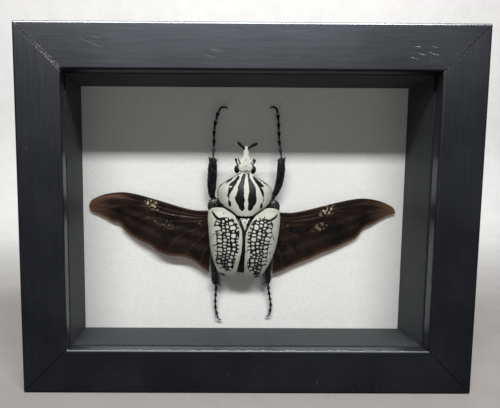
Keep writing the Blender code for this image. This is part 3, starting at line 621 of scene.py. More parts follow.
@dataclass(frozen=True)
class SatinPaint:
    """Black satin paint on wood: orange peel, brush streaks, gouges, specks, and chips at the mitres."""

    name: str
    grain: Grain
    dark: Colour = (0.0025, 0.0027, 0.0036)
    worn: Colour = (0.0045, 0.0048, 0.0062)
    dust: Colour = (0.16, 0.16, 0.16)
    corner_x: float = 0.125
    middle_z: float = 0.10025

    def material(self) -> bpy.types.Material:
        """The node material of the paint."""
        mix = Recipe(self.name)
        streaks = mix.noise(mix.place(self.grain.value), 3.0, 0.55)
        peel = mix.noise(mix.place(750.0), 2.0)
        patches = mix.noise(mix.place(30.0), 3.0)
        specks = mix.rise(mix.noise(mix.place(1100.0), 2.0), 0.74, 0.80)
        colour = mix.blend(mix.rise(patches, 0.35, 0.75), self.dark, self.worn)
        flakes = mix.rise(mix.noise(mix.place(1500.0), 2.0), 0.50, 0.64)
        chips = mix.math("MULTIPLY", self.at_mitre(mix), flakes)
        pale = mix.math("MAXIMUM", mix.math("MULTIPLY", specks, 0.35), chips)
        colour = mix.blend(pale, colour, self.dust)
        gouges = self.gouges(mix)
        rough = mix.math("ADD", mix.rise(streaks, 0.3, 0.7, 0.295, 0.32), mix.math("MULTIPLY", patches, 0.05))
        relief = mix.bump(peel, 0.000012, mix.bump(streaks, 0.000006))
        relief = mix.bump(gouges, 0.00007, relief)
        shader = mix.surface({
            "Base Color": colour, "Roughness": rough, "Normal": relief, "Specular IOR Level": 0.75,
            "Specular Tint": (0.82, 0.88, 1.0),
        })
        return mix.done(shader)

    def at_mitre(self, mix: Recipe) -> Socket:
        """The front of the upper mitres: strongest low on the left one, and 0 away from them."""
        where = mix.node("ShaderNodeTexCoord", {}).outputs["Object"]
        axes = mix.node("ShaderNodeSeparateXYZ", {"Vector": where}).outputs
        from_side = mix.math("SUBTRACT", self.corner_x, mix.math("ABSOLUTE", axes["X"]))
        from_top = mix.math("SUBTRACT", 2 * self.middle_z, axes["Z"])
        off = mix.math("ABSOLUTE", mix.math("SUBTRACT", from_side, from_top))
        on_face = mix.math("MULTIPLY", mix.rise(off, 0.0022, 0.0003), mix.rise(axes["Y"], -0.0225, -0.0235))
        low = mix.rise(axes["Z"], 0.194, 0.184, 0.2, 1.0)
        leftward = mix.rise(axes["X"], 0.06, -0.10, 0.15, 1.0)
        return mix.math("MULTIPLY", mix.math("MULTIPLY", on_face, low), leftward)

    def gouges(self, mix: Recipe) -> Socket:
        """The height of the paint: short level dents inside each knocked patch, and 0 outside."""
        where = mix.node("ShaderNodeTexCoord", {}).outputs["Object"]
        axes = mix.node("ShaderNodeSeparateXYZ", {"Vector": where}).outputs
        dents = mix.rise(mix.noise(mix.place((110.0, 400.0, 800.0), -0.25), 2.0, 0.4), 0.55, 0.68, 0.0, -1.0)
        windows: list[Socket] = []
        for knock in KNOCKS:
            across = mix.math("DIVIDE", mix.math("SUBTRACT", axes["X"], knock.x), knock.reach_x)
            up = mix.math("DIVIDE", mix.math("SUBTRACT", axes["Z"], knock.z), knock.reach_z)
            far = mix.math("ADD", mix.math("MULTIPLY", across, across), mix.math("MULTIPLY", up, up))
            windows.append(mix.rise(far, 1.2, 0.4, 0.0, knock.depth))
        window = mix.math("MAXIMUM", mix.math("MAXIMUM", windows[0], windows[1]), windows[2])
        return mix.math("MULTIPLY", dents, window)


@dataclass(frozen=True)
class WallPaint:
    """The matt dark paint of the inner walls, with a fine grain and settled dust."""

    dark: Colour = (0.022, 0.024, 0.029)
    pale: Colour = (0.040, 0.044, 0.052)
    dust: Colour = (0.30, 0.30, 0.29)

    def material(self) -> bpy.types.Material:
        """The node material of the walls."""
        mix = Recipe("wall_paint")
        fibre = mix.noise(mix.place((500.0, 80.0, 500.0)), 4.0, 0.65)
        specks = mix.rise(mix.noise(mix.place(1100.0), 1.0), 0.72, 0.78)
        colour = mix.blend(mix.rise(fibre, 0.3, 0.75), self.dark, self.pale)
        colour = mix.blend(mix.math("MULTIPLY", specks, 0.7), colour, self.dust)
        relief = mix.bump(fibre, 0.0001)
        rough = mix.rise(fibre, 0.2, 0.8, 0.6, 0.75)
        shader = mix.surface({"Base Color": colour, "Roughness": rough, "Normal": relief})
        return mix.done(shader)


@dataclass(frozen=True)
class Card:
    """White watercolour card with a fine pressed grain that runs aslant."""

    light: Colour = (0.815, 0.80, 0.81)
    shade: Colour = (0.765, 0.755, 0.77)

    def material(self) -> bpy.types.Material:
        """The node material of the card."""
        mix = Recipe("pressed_card")
        grain = mix.noise(mix.place((460.0, 460.0, 1150.0), math.radians(38)), 2.0, 0.5)
        cloud = mix.noise(mix.place(650.0), 4.0, 0.6)
        wide = mix.noise(mix.place(9.0), 2.0)
        colour = mix.blend(mix.rise(grain, 0.40, 0.65), self.light, self.shade)
        colour = mix.blend(mix.rise(wide, 0.4, 0.7, 0.0, 0.5), colour, self.shade)
        relief = mix.bump(grain, 0.00014, mix.bump(cloud, 0.00006))
        rough = mix.rise(cloud, 0.2, 0.8, 0.82, 0.95)
        shader = mix.surface({"Base Color": colour, "Roughness": rough, "Normal": relief})
        return mix.done(shader)


@dataclass(frozen=True)
class PaneGlass:
    """Clear glass that lets lamps through, with a weak gloss that is smeared in places."""

    clear: Colour = (0.965, 0.975, 0.97)

    def material(self) -> bpy.types.Material:
        """The node material of the pane."""
        mix = Recipe("pane_glass")
        gloss = mix.node("ShaderNodeFresnel", {"IOR": 1.45}).outputs[0]
        smear = mix.rise(mix.noise(mix.place(30.0), 3.0), 0.4, 0.8, 0.02, 0.07)
        through_glass = mix.node("ShaderNodeBsdfTransparent", {"Color": self.clear}).outputs[0]
        mirror = mix.node("ShaderNodeBsdfAnisotropic", {"Roughness": smear}).outputs[0]
        share = mix.math("MULTIPLY", gloss, 0.6)
        return mix.done(mix.node("ShaderNodeMixShader", {0: share, 1: through_glass, 2: mirror}).outputs[0])


@dataclass(frozen=True)
class Hardboard:
    """Raw brown hardboard, flecked with fibres."""

    dark: Colour = (0.13, 0.075, 0.040)
    pale: Colour = (0.27, 0.165, 0.090)

    def material(self) -> bpy.types.Material:
        """The node material of the board."""
        mix = Recipe("hardboard")
        fibre = mix.noise(mix.place((700.0, 700.0, 420.0)), 5.0, 0.7)
        wide = mix.noise(mix.place(25.0), 3.0)
        both = mix.math("ADD", mix.math("MULTIPLY", fibre, 0.7), mix.math("MULTIPLY", wide, 0.3))
        colour = mix.blend(mix.rise(both, 0.3, 0.7), self.dark, self.pale)
        relief = mix.bump(fibre, 0.00015)
        rough = mix.rise(fibre, 0.2, 0.8, 0.7, 0.88)
        shader = mix.surface({"Base Color": colour, "Roughness": rough, "Normal": relief})
        return mix.done(shader)


@dataclass(frozen=True)
class Steel:
    """Bright steel with fine drawn lines."""

    name: str
    bright: Colour = (0.70, 0.70, 0.69)
    dull: Colour = (0.48, 0.48, 0.48)

    def material(self) -> bpy.types.Material:
        """The node material of the steel."""
        mix = Recipe(self.name)
        lines = mix.noise(mix.place((2500.0, 2500.0, 300.0)), 3.0)
        colour = mix.blend(mix.rise(lines, 0.3, 0.75), self.bright, self.dull)
        relief = mix.bump(lines, 0.00002)
        rough = mix.rise(lines, 0.2, 0.8, 0.22, 0.4)
        shader = mix.surface({"Base Color": colour, "Metallic": 1.0, "Roughness": rough, "Normal": relief})
        return mix.done(shader)


@dataclass(frozen=True)
class Ivory:
    """Velvety ivory shell with black markings, which are drawn where the number "mark" is below zero.

    The number "shade" darkens the ivory towards tan: painted shade where the shells curve away at their sides
    and edges, and a plain tan tone on the smaller plates. "ragged" is how far the edges of the markings
    wander, in mm.
    """

    name: str
    ivory: Colour = (0.575, 0.57, 0.53)
    tan: Colour = (0.37, 0.36, 0.30)
    black: Colour = (0.0065, 0.0062, 0.008)
    ragged: float = 0.35

    def material(self) -> bpy.types.Material:
        """The node material of the shell."""
        mix = Recipe(self.name)
        wander = mix.noise(mix.place(900.0), 3.0, 0.6)
        mark = mix.math("ADD", mix.number("mark"), mix.rise(wander, 0.2, 0.8, -self.ragged, self.ragged))
        ink = mix.rise(mark, 0.09, -0.09)
        cloud = mix.noise(mix.place(240.0), 4.0, 0.6)
        pores = mix.rise(mix.cells(mix.place(1500.0)), 0.10, 0.45)
        shade = mix.math("ADD", mix.number("shade"), mix.rise(cloud, 0.3, 0.8, -0.15, 0.35))
        # The tan here is partly the shell's own tone and partly painted shade, as the "shade" number sets it.
        body = mix.blend(mix.rise(shade, 0.0, 1.2), self.ivory, self.tan)
        body = mix.blend(mix.rise(pores, 0.0, 0.6, 0.22, 0.0), body, self.tan)
        colour = mix.blend(ink, body, self.black)
        rough = mix.math("ADD", mix.rise(ink, 0.0, 1.0, 0.50, 0.36), mix.math("MULTIPLY", cloud, 0.08))
        swell = mix.math("ADD", cloud, mix.math("MULTIPLY", ink, -0.25))
        relief = mix.bump(pores, 0.00004, mix.bump(swell, 0.00012))
        gloss = mix.rise(ink, 0.0, 1.0, 0.4, 0.2)
        shader = mix.surface({
            "Base Color": colour, "Roughness": rough, "Normal": relief, "Specular IOR Level": gloss,
        })
        return mix.done(shader)


@dataclass(frozen=True)
class Chitin:
    """Black pitted chitin with a cool gloss.

    Where the number "hair" is 1 it is dark brown hair, and "pale" is how strong a scaly bloom is.
    """

    name: str
    black: Colour = (0.0050, 0.0054, 0.0075)
    sheen: Colour = (0.012, 0.0135, 0.020)
    hair: Colour = (0.020, 0.013, 0.010)
    bloom: Colour = (0.16, 0.13, 0.10)

    def material(self) -> bpy.types.Material:
        """The node material of the chitin."""
        mix = Recipe(self.name)
        pits = mix.rise(mix.cells(mix.place(1300.0)), 0.12, 0.5)
        cloud = mix.noise(mix.place(420.0), 4.0, 0.6)
        colour = mix.blend(mix.rise(cloud, 0.4, 0.75), self.black, self.sheen)
        colour = mix.blend(mix.number("hair"), colour, self.hair)
        flakes = mix.rise(mix.noise(mix.place(1100.0), 4.0, 0.7), 0.5, 0.62)
        scales = mix.math("MULTIPLY", mix.number("pale"), flakes)
        colour = mix.blend(scales, colour, self.bloom)
        rough = mix.rise(mix.math("ADD", cloud, mix.number("hair")), 0.3, 1.0, 0.22, 0.5)
        relief = mix.bump(pits, 0.00009, mix.bump(cloud, 0.00011))
        shader = mix.surface({"Base Color": colour, "Roughness": rough, "Normal": relief})
        return mix.done(shader)


@dataclass(frozen=True)
class Membrane:
    """The dark brown wing skin: red-brown veins, amber where it is thin, and fine cross wrinkles.

    It reads "vein" and "trail", the distances to a vein and to the trailing edge in mm, "span", the share
    from root to tip, and "joint" and "band", the strength of the painted cream glints and of the amber band.
    """

    dark: Colour = (0.0080, 0.0064, 0.0066)
    brown: Colour = (0.024, 0.0120, 0.0095)
    rust: Colour = (0.10, 0.042, 0.024)
    amber: Colour = (0.20, 0.110, 0.070)
    cream: Colour = (0.62, 0.48, 0.33)
    glow: Colour = (0.95, 0.66, 0.40)

    def material(self) -> bpy.types.Material:
        """The node material of the wings."""
        mix = Recipe("wing_skin")
        cloud = mix.noise(mix.place(130.0), 4.0, 0.55)
        fine = mix.noise(mix.place((1500.0, 1500.0, 500.0)), 3.0)
        colour = mix.blend(mix.rise(cloud, 0.35, 0.75), self.dark, self.brown)
        tip = mix.rise(mix.number("span"), 0.74, 0.99)
        thin = mix.rise(mix.number("trail"), 2.4, 0.0)
        thin = mix.math("MAXIMUM", mix.math("MULTIPLY", thin, 0.5), mix.math("MULTIPLY", tip, 0.72))
        colour = mix.blend(thin, colour, self.amber)
        colour = mix.blend(mix.number("band"), colour, self.amber)
        near_root = mix.rise(mix.number("span"), 0.55, 0.05, 0.28, 1.0)
        veins = mix.math("MULTIPLY", mix.rise(mix.number("vein"), 0.34, 0.04), near_root)
        veins = mix.math("MULTIPLY", veins, mix.rise(cloud, 0.25, 0.5, 0.35, 0.8))
        colour = mix.blend(veins, colour, self.rust)
        # Painted glints: cream specks where the crumpled fold of the wing catches the light.
        glint_grains = mix.rise(mix.noise(mix.place(720.0), 2.0), 0.53, 0.62)
        flecks = mix.math("MULTIPLY", mix.number("joint"), glint_grains)
        colour = mix.blend(flecks, colour, self.cream)
        relief = mix.bump(fine, 0.00002, mix.bump(cloud, 0.00005))
        rough = mix.rise(cloud, 0.25, 0.8, 0.26, 0.36)
        skin = mix.surface({"Base Color": colour, "Roughness": rough, "Normal": relief})
        glow = mix.node("ShaderNodeBsdfTransparent", {"Color": self.glow}).outputs[0]
        at_trail = mix.rise(mix.number("trail"), 7.0, 0.0, 0.05, 0.26)
        clear = mix.math("ADD", at_trail, mix.math("MULTIPLY", tip, 0.08))
        return mix.done(mix.node("ShaderNodeMixShader", {0: clear, 1: skin, 2: glow}).outputs[0])


@dataclass
class FrameBox:
    """The wooden frame, its glass, inner walls, card, back board and tabs: nodes that keep their shapes."""

    level_rails: tuple[str, ...] = ("rail_top", "rail_bottom")
    upright_rails: tuple[str, ...] = ("rail_left", "rail_right")
    walls: tuple[str, ...] = ("liner_top", "liner_bottom", "liner_left", "liner_right")
    tab_count: int = 6

    def build(self) -> None:
        """Dresses every node of the frame."""
        self.dress(self.level_rails, SatinPaint("satin_paint_level", Grain.LEVEL).material())
        self.dress(self.upright_rails, SatinPaint("satin_paint_upright", Grain.UPRIGHT).material())
        self.dress(self.walls, WallPaint().material())
        self.dress(("backing_card",), Card().material())
        self.dress(("glass_pane",), PaneGlass().material())
        self.dress(("back_board",), Hardboard().material())
        tabs = tuple(f"back_tab_{number + 1}" for number in range(self.tab_count))
        self.dress(tabs, Steel("tab_steel").material())

    def dress(self, names: tuple[str, ...], material: bpy.types.Material) -> None:
        """Gives the nodes a material.

        Args:
            names: The nodes' names.
            material: The material for all of them.
        """
        for name in names:
            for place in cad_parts[name].material_slots:
                place.material = material
            logger.info("%s: finished with %s", name, material.name)


@dataclass
class NeckShield:
    """The pronotum: a domed shield with black drops and stripes, and the front of the thorax under it."""

    side: Outline = (
        (0.0, 26.2), (3.3, 25.8), (4.9, 24.9), (7.6, 23.1), (11.4, 20.9), (14.4, 18.8), (16.1, 16.1),
        (16.5, 13.4), (16.0, 10.4), (14.7, 7.7), (12.3, 5.5), (9.3, 3.6), (6.7, 1.75), (4.4, 0.15),
        (2.6, -0.15), (0.0, -0.15),
    )
    crown: Outline = ((-0.5, 19.4), (4.0, 20.4), (9.0, 20.7), (15.0, 19.8), (22.0, 17.0), (26.5, 14.6))
    rim: Outline = (
        (-0.5, 18.4), (2.0, 17.6), (4.0, 16.2), (6.0, 14.0), (8.5, 12.3), (16.0, 12.0), (24.0, 13.0),
        (26.5, 13.6),
    )
    grid: tuple[int, int] = (130, 140)
    arch: float = 2.4
    thickness: float = 1.3
    underside: float = 8.5
    deep_from: tuple[float, float] = (4.5, 9.5)
    deep_to: tuple[float, float] = (21.0, 25.5)
    edge_line: float = 0.42
    drops: tuple[Outline, ...] = (
        (
            (-1.3, 25.7), (-2.5, 23.6), (-3.7, 20.1), (-4.9, 17.5), (-5.0, 15.0), (-5.6, 13.1), (-6.3, 10.5),
            (-5.9, 8.7), (-5.2, 7.9), (-4.1, 5.8), (-3.1, 4.0), (-1.7, 3.6), (-0.9, 4.9), (-1.0, 7.9),
            (-0.7, 10.3), (-1.4, 12.9), (-1.3, 15.1), (-1.4, 17.6), (-0.9, 20.1), (-0.6, 22.7), (-0.5, 25.7),
        ),
        (
            (0.5, 25.8), (1.0, 22.7), (1.3, 19.6), (1.6, 17.1), (1.7, 14.6), (1.3, 12.1), (1.0, 10.2),
            (1.4, 7.8), (1.1, 5.6), (1.6, 4.1), (2.4, 3.7), (3.6, 4.3), (4.9, 6.7), (5.8, 8.2), (6.3, 10.2),
            (6.3, 11.5), (5.8, 13.4), (5.8, 15.9), (5.1, 18.4), (3.9, 20.3), (2.6, 22.5), (1.4, 25.5),
        ),
    )
    stripes: tuple[Outline, ...] = (
        (
            (-4.0, 24.4), (-4.9, 23.6), (-6.8, 21.3), (-8.7, 20.0), (-9.6, 18.7), (-10.1, 17.1),
            (-10.2, 15.5), (-10.4, 13.6), (-10.5, 12.0), (-10.0, 10.3), (-10.1, 8.8), (-9.8, 6.5),
            (-8.7, 5.7), (-8.4, 6.9), (-8.7, 8.8), (-9.6, 10.0), (-9.6, 11.1), (-9.3, 12.7),
            (-8.4, 14.9), (-7.2, 16.8), (-5.9, 19.1), (-4.7, 21.3), (-3.8, 23.6),
        ),
        (
            (3.7, 24.1), (4.7, 23.9), (6.6, 22.3), (9.3, 20.1), (10.8, 17.9), (8.8, 17.7), (10.3, 15.7),
            (10.8, 12.6), (10.7, 11.0), (11.0, 10.0), (10.2, 8.4), (10.0, 5.7), (8.6, 4.8), (8.5, 6.4),
            (8.9, 8.0), (10.0, 9.2), (10.3, 10.3), (9.8, 12.2), (9.1, 14.1), (8.1, 16.3), (6.8, 18.5),
            (5.5, 20.6), (4.0, 23.1),
        ),
    )
    streaks: tuple[Outline, ...] = (
        ((-6.6, 23.4, 0.15), (-8.3, 22.2, 0.45), (-9.9, 20.9, 0.55), (-11.3, 19.7, 0.2)),
        ((6.6, 23.2, 0.2), (9.4, 21.8, 0.5), (11.5, 20.5, 0.5), (13.0, 18.5, 0.15)),
    )
    white_dot: Triple = (-8.9, 17.4, 0.6)

    def build(self, finish: bpy.types.Material) -> None:
        """The shield's height is rim + (crown - rim)(1 - share^arch), share being the way out to its side."""
        left = tuple((-across, along) for across, along in self.side)
        plan = rows_between(left, self.side, *self.grid)
        along = plan[..., 1]
        share = way_out(plan)
        rim, crown = through(self.rim, along), through(self.crown, along)
        top = rim + (crown - rim) * (1 - share**self.arch)
        deep = ease(*self.deep_from, along) * (1 - ease(*self.deep_to, along)) * (1 - share**4)
        drop = rounding(plan, rim_of(plan), self.thickness / 2)
        bottom = (top - self.thickness + drop) * (1 - deep) + self.underside * deep
        # "shade" is painted shade: the ivory tans towards the shield's sides, where the dome curves away,
        # fading towards its front.
        values = {"mark": self.mark(plan), "shade": ease(0.6, 1.0, share) * 0.75 * ease(24.0, 17.0, along)}
        patch = closed_sheet(raised(plan, top - drop), raised(plan, bottom), values)
        put_in_frame("neck_shield", patch, finish, ("pronotum",))

    def mark(self, plan: Array) -> Array:
        """The signed distance to the nearest marking, in mm."""
        edge = gap_to(plan, rim_of(plan))
        # The rim line is partly the shield's black border and partly painted shade of the gap between parts,
        # widest at the rear.
        drawn = [edge - self.edge_line - 0.35 * ease(8.0, 3.0, plan[..., 1])]
        drawn += [region(plan, outline) for outline in (*self.drops, *self.stripes)]
        drawn += [stroke(plan, path) for path in self.streaks]
        across, along, radius = self.white_dot
        dot = np.hypot(plan[..., 0] - across, plan[..., 1] - along) - radius
        return np.maximum(np.minimum.reduce(drawn), -dot)


@dataclass
class WingCaseArch:
    """The arched surface that the wing cases, the scutellum and the back of the body share."""

    half_width: Outline = (
        (-39.0, 9.0), (-37.7, 11.4), (-35.8, 13.8), (-32.0, 16.2), (-27.0, 18.2), (-20.8, 20.1),
        (-13.8, 21.4), (-6.8, 22.1), (0.0, 22.2), (5.4, 21.0),
    )
    crown: Outline = (
        (-39.0, 9.6), (-36.0, 12.5), (-31.0, 16.0), (-24.0, 19.0), (-14.0, 20.2), (-6.0, 19.7),
        (0.0, 18.4), (5.0, 15.8),
    )
    rim: Outline = ((-39.0, 8.4), (-30.0, 9.0), (-15.0, 9.8), (0.0, 10.2), (5.0, 10.5))
    arch: float = 3.2

    def height(self, plan: Array) -> Array:
        """The height above the card: rim + (crown - rim)(1 - share^arch)."""
        rim, crown = through(self.rim, plan[..., 1]), through(self.crown, plan[..., 1])
        share = np.clip(np.abs(plan[..., 0]) / through(self.half_width, plan[..., 1]), 0, 1)
        return rim + (crown - rim) * (1 - share**self.arch)


ARCH = WingCaseArch()


@dataclass(frozen=True)
class NetColumn:
    """One lengthwise column of white cells in the black net of a wing case."""

    share: float
    narrow_share: float | None
    pitch: float
    half_width: float
    half_length: float


@dataclass
class WingCase:
    """One elytron: an ivory shell with a black net of white cells, and streaks at its shoulder."""

    side: Side
    inner: Outline
    outer: Outline
    net_inner: Outline
    net_outer: Outline
    strokes: tuple[Outline, ...]
    seed: int
    grid: tuple[int, int] = (220, 110)
    thickness: float = 1.2
    columns: tuple[NetColumn, ...] = (
        NetColumn(0.06, None, 2.1, 0.62, 0.62),
        NetColumn(0.25, 0.17, 2.5, 1.02, 0.90),
        NetColumn(0.45, 0.48, 2.1, 0.84, 0.70),
        NetColumn(0.63, None, 1.9, 0.72, 0.62),
        NetColumn(0.86, 0.82, 2.5, 1.22, 0.90),
    )
    narrow_below: float = 9.5
    net_front: float = -1.2
    net_back: float = -34.0
    full_width: float = 12.5
    line_half_width: float = 0.40
    cell_cap: float = 1.15
    bead_height: float = 0.12
    bead_inset: float = 0.9
    bead_width: float = 0.5
    edge_shade: float = 0.55

    def build(self, finish: bpy.types.Material) -> None:
        """The shell follows the arch, with round edges and a low bead just inside them."""
        mirror = (self.side.value, 1)
        plan = rows_between(self.inner, self.outer, *self.grid)
        mark = self.mark(plan)
        edge = rim_of(plan)
        gap = gap_to(plan, edge)
        plan = plan * mirror
        drop = rounding(plan, edge * mirror, self.thickness / 2)
        bead = self.bead_height * np.exp(-(((gap - self.bead_inset) / self.bead_width) ** 2))
        top = ARCH.height(plan)
        bottom = top - self.thickness + drop
        # "shade" is painted shade: the ivory tans within 4.5 mm of the rim, where the round edges turn away.
        values = {"mark": mark, "shade": self.edge_shade * ease(4.5, 0.5, gap)}
        patch = closed_sheet(raised(plan, top - drop + bead), raised(plan, bottom), values)
        name = f"wing_case_{self.side.label}"
        put_in_frame(name, patch, finish, (f"elytron_{self.side.label}",))

    def cells(self) -> Array:
        """The white cells of the net, column by column, with seeded wander in place and size.

        Returns:
            Rows of (distance from the midline, along, half width, half length).
        """
        chance = np.random.default_rng(self.seed)
        borders = (np.array(border) for border in (self.net_inner, self.net_outer))
        inner, outer = (border[np.argsort(border[:, 1])] for border in borders)
        rows: list[Array] = []
        for column in self.columns:
            along = np.arange(self.net_front + chance.uniform(0, column.pitch), self.net_back, -column.pitch)
            along = along + chance.uniform(-0.42, 0.42, len(along))
            low = np.interp(along, inner[:, 1], inner[:, 0])
            width = np.interp(along, outer[:, 1], outer[:, 0]) - low
            narrow = width < self.narrow_below
            share = np.where(narrow, column.narrow_share or column.share, column.share)
            size = chance.uniform(0.72, 1.3, len(along)) * np.clip(width / self.full_width, 0.85, 1.15)
            across = low + width * share + chance.uniform(-0.38, 0.38, len(along))
            row = np.column_stack([across, along, column.half_width * size, column.half_length * size])
            rows.append(row if column.narrow_share else row[~narrow])
        return np.concatenate(rows)

    def mark(self, plan: Array) -> Array:
        """The signed distance to the black of the net and the strokes, on the plan of the right side.

        A cell is white as far as the middle line to its neighbour, less half a black line, and at most
        cell_cap times its own reach.
        """
        zone = region(plan, (*self.net_inner, *reversed(self.net_outer)), 96)
        cells = self.cells()
        points = plan.reshape(-1, 1, 2)
        away = np.linalg.norm((points - cells[:, :2]) / cells[:, 2:], axis=-1)
        first, second = np.moveaxis(np.partition(away, 1, axis=1)[:, :2], 1, 0)
        reach = np.sqrt(cells[:, 2] * cells[:, 3])[away.argmin(axis=1)]
        to_border = (second - first) * reach / 2 - self.line_half_width
        to_rim = (self.cell_cap - first) * reach
        white = np.minimum(to_border, to_rim).reshape(plan.shape[:-1])
        net = np.maximum(zone, white)
        return np.minimum.reduce([net, *(stroke(plan, path) for path in self.strokes)])


LEFT_CASE = WingCase(
    side=Side.LEFT,
    inner=(
        (14.8, 5.0), (12.7, 4.8), (9.7, 3.1), (7.0, 1.35), (5.3, -0.2), (3.6, -2.2), (2.0, -6.3),
        (1.4, -10.4), (1.2, -14.6), (1.4, -19.7), (2.0, -24.3), (2.8, -28.9), (3.4, -33.5),
        (4.2, -36.6), (5.9, -38.1), (8.6, -38.4),
    ),
    outer=(
        (14.8, 5.0), (17.8, 4.8), (20.3, 3.8), (21.4, 1.8), (21.7, -1.6), (21.3, -6.8), (20.6, -13.8),
        (19.6, -20.8), (17.9, -27.0), (16.0, -31.9), (13.5, -35.8), (11.0, -37.7), (8.6, -38.4),
    ),
    net_inner=(
        (7.7, -0.7), (5.1, -3.1), (3.6, -5.7), (3.0, -9.0), (3.4, -12.4), (3.6, -15.4), (2.8, -17.8),
        (3.1, -20.2), (4.3, -22.4), (4.8, -25.6), (5.3, -29.0), (6.1, -31.8), (8.1, -33.2),
    ),
    net_outer=(
        (13.4, -0.6), (16.7, -2.2), (17.8, -4.3), (17.9, -7.3), (16.6, -11.0), (16.4, -13.7), (16.1, -16.5),
        (16.0, -20.0), (15.7, -23.5), (16.2, -26.6), (15.4, -29.2), (13.6, -31.6), (11.8, -32.9),
    ),
    strokes=(
        ((19.2, 2.6, 0.35), (17.8, 0.3, 0.75), (15.1, -1.8, 0.8), (12.6, -1.6, 0.45)),
        ((18.8, -12.8, 0.15), (18.3, -11.4, 0.2), (16.7, -10.5, 0.25), (14.6, -9.9, 0.35)),
        ((18.0, -18.1, 0.35), (16.4, -17.2, 0.25), (14.4, -16.4, 0.45)),
        ((17.9, -21.0, 0.15), (16.0, -21.0, 0.25), (14.2, -21.0, 0.35)),
        ((17.1, -24.0, 0.15), (15.4, -24.1, 0.25), (13.7, -24.2, 0.35)),
        ((16.6, -27.9, 0.3), (15.6, -26.9, 0.2), (14.7, -25.9, 0.35)),
        ((16.2, -29.0, 0.25), (15.0, -29.1, 0.25), (13.8, -29.2, 0.35)),
        ((12.8, -35.5, 0.6), (11.6, -36.1, 0.75), (10.5, -36.6, 0.5)),
        ((12.4, 1.8, 0.35), (12.5, 1.7, 0.35)),
        ((5.5, -0.1, 0.2), (4.1, -2.3, 0.35), (2.7, -5.0, 0.35), (1.3, -7.9, 0.25)),
    ),
    seed=11,
)
RIGHT_CASE = WingCase(
    side=Side.RIGHT,
    inner=(
        (14.8, 5.4), (12.7, 5.0), (9.7, 3.1), (7.0, 1.3), (4.8, -1.2), (2.4, -5.8), (0.8, -9.6),
        (0.5, -14.5), (0.6, -19.7), (0.6, -25.1), (0.9, -30.8), (1.7, -35.4), (3.6, -37.5),
        (6.7, -38.3),
    ),
    outer=(
        (14.8, 5.4), (18.0, 5.1), (20.7, 4.0), (21.9, 1.8), (22.2, -1.2), (22.0, -6.6), (21.4, -12.7),
        (20.0, -19.8), (17.6, -27.0), (14.9, -32.0), (12.3, -35.7), (9.7, -37.6), (6.7, -38.3),
    ),
    net_inner=(
        (7.9, -0.2), (4.5, -2.8), (2.9, -6.1), (1.9, -8.5), (1.7, -12.2), (1.8, -15.6), (2.0, -19.0),
        (3.5, -21.1), (3.3, -24.2), (2.3, -26.1), (2.3, -28.7), (3.2, -31.4), (4.8, -33.4), (7.2, -35.5),
    ),
    net_outer=(
        (12.1, -0.7), (16.4, -2.7), (17.4, -5.4), (16.5, -7.4), (17.0, -10.2), (15.8, -12.9), (15.0, -15.6),
        (14.7, -18.4), (14.5, -21.2), (14.3, -24.8), (14.3, -28.2), (12.2, -29.6), (11.4, -32.3),
        (10.7, -35.1),
    ),
    strokes=(
        ((19.8, 1.4, 0.5), (18.3, -0.3, 0.7), (16.2, -1.4, 0.7), (12.9, -2.4, 0.6)),
        ((16.8, -10.6, 0.2), (17.7, -12.0, 0.25), (18.2, -13.7, 0.3)),
        ((13.4, -15.6, 0.4), (15.2, -15.9, 0.25), (17.2, -16.3, 0.2)),
        ((13.2, -18.2, 0.35), (15.0, -18.1, 0.2), (16.7, -18.0, 0.15)),
        ((15.9, -22.1, 0.25), (16.1, -21.2, 0.2), (15.9, -20.6, 0.15)),
        ((12.7, -28.2, 0.4), (13.6, -28.7, 0.45), (14.4, -29.1, 0.4)),
        ((15.6, -5.1, 0.35), (16.6, -5.0, 0.2), (17.5, -4.8, 0.15)),
        ((7.9, -36.8, 0.5), (9.2, -36.6, 0.75), (10.5, -36.1, 0.4)),
        ((11.7, 0.3, 0.3), (11.4, -0.6, 0.25)),
        ((5.0, -0.5, 0.25), (3.3, -3.1, 0.35), (1.3, -5.5, 0.3), (0.4, -8.2, 0.2)),
        ((2.8, -19.0, 0.35), (1.7, -19.8, 0.25), (0.6, -20.6, 0.2)),
    ),
    seed=29,
)


@dataclass
class Scutellum:
    """The small three-cornered plate between the wing cases."""

    half_width: float = 2.9
    front: float = -0.9
    tip: float = -8.2
    grid: tuple[int, int] = (60, 50)
    thickness: float = 1.2
    groove_depth: float = 0.08
    groove_width: float = 0.35
    shade: float = 0.15
    ticks: tuple[Outline, ...] = (
        ((-1.9, -1.3, 0.18), (-1.2, -1.3, 0.2)),
        ((0.7, -1.2, 0.18), (1.3, -1.2, 0.2)),
        ((-2.6, -2.0, 0.3), (-1.5, -5.4, 0.25)),
        ((2.1, -2.0, 0.3), (0.9, -5.4, 0.25)),
        ((0.0, -2.4, 0.06), (-0.1, -5.6, 0.06)),
    )

    def build(self, finish: bpy.types.Material) -> None:
        """The plate lies on the arch, with round edges and a groove along its middle."""
        left, right = (-self.half_width, self.front), (self.half_width, self.front)
        plan = rows_between((left, (0.0, self.tip)), (right, (0.0, self.tip)), *self.grid)
        drop = rounding(plan, rim_of(plan), self.thickness / 2)
        top = ARCH.height(plan) - self.groove_depth * np.exp(-((plan[..., 0] / self.groove_width) ** 2))
        mark = np.minimum.reduce([stroke(plan, path) for path in self.ticks])
        values = {"mark": mark, "shade": np.full(top.shape, self.shade)}
        patch = closed_sheet(raised(plan, top - drop), raised(plan, top - self.thickness + drop), values)
        put_in_frame("scutellum_plate", patch, finish, ("scutellum",))


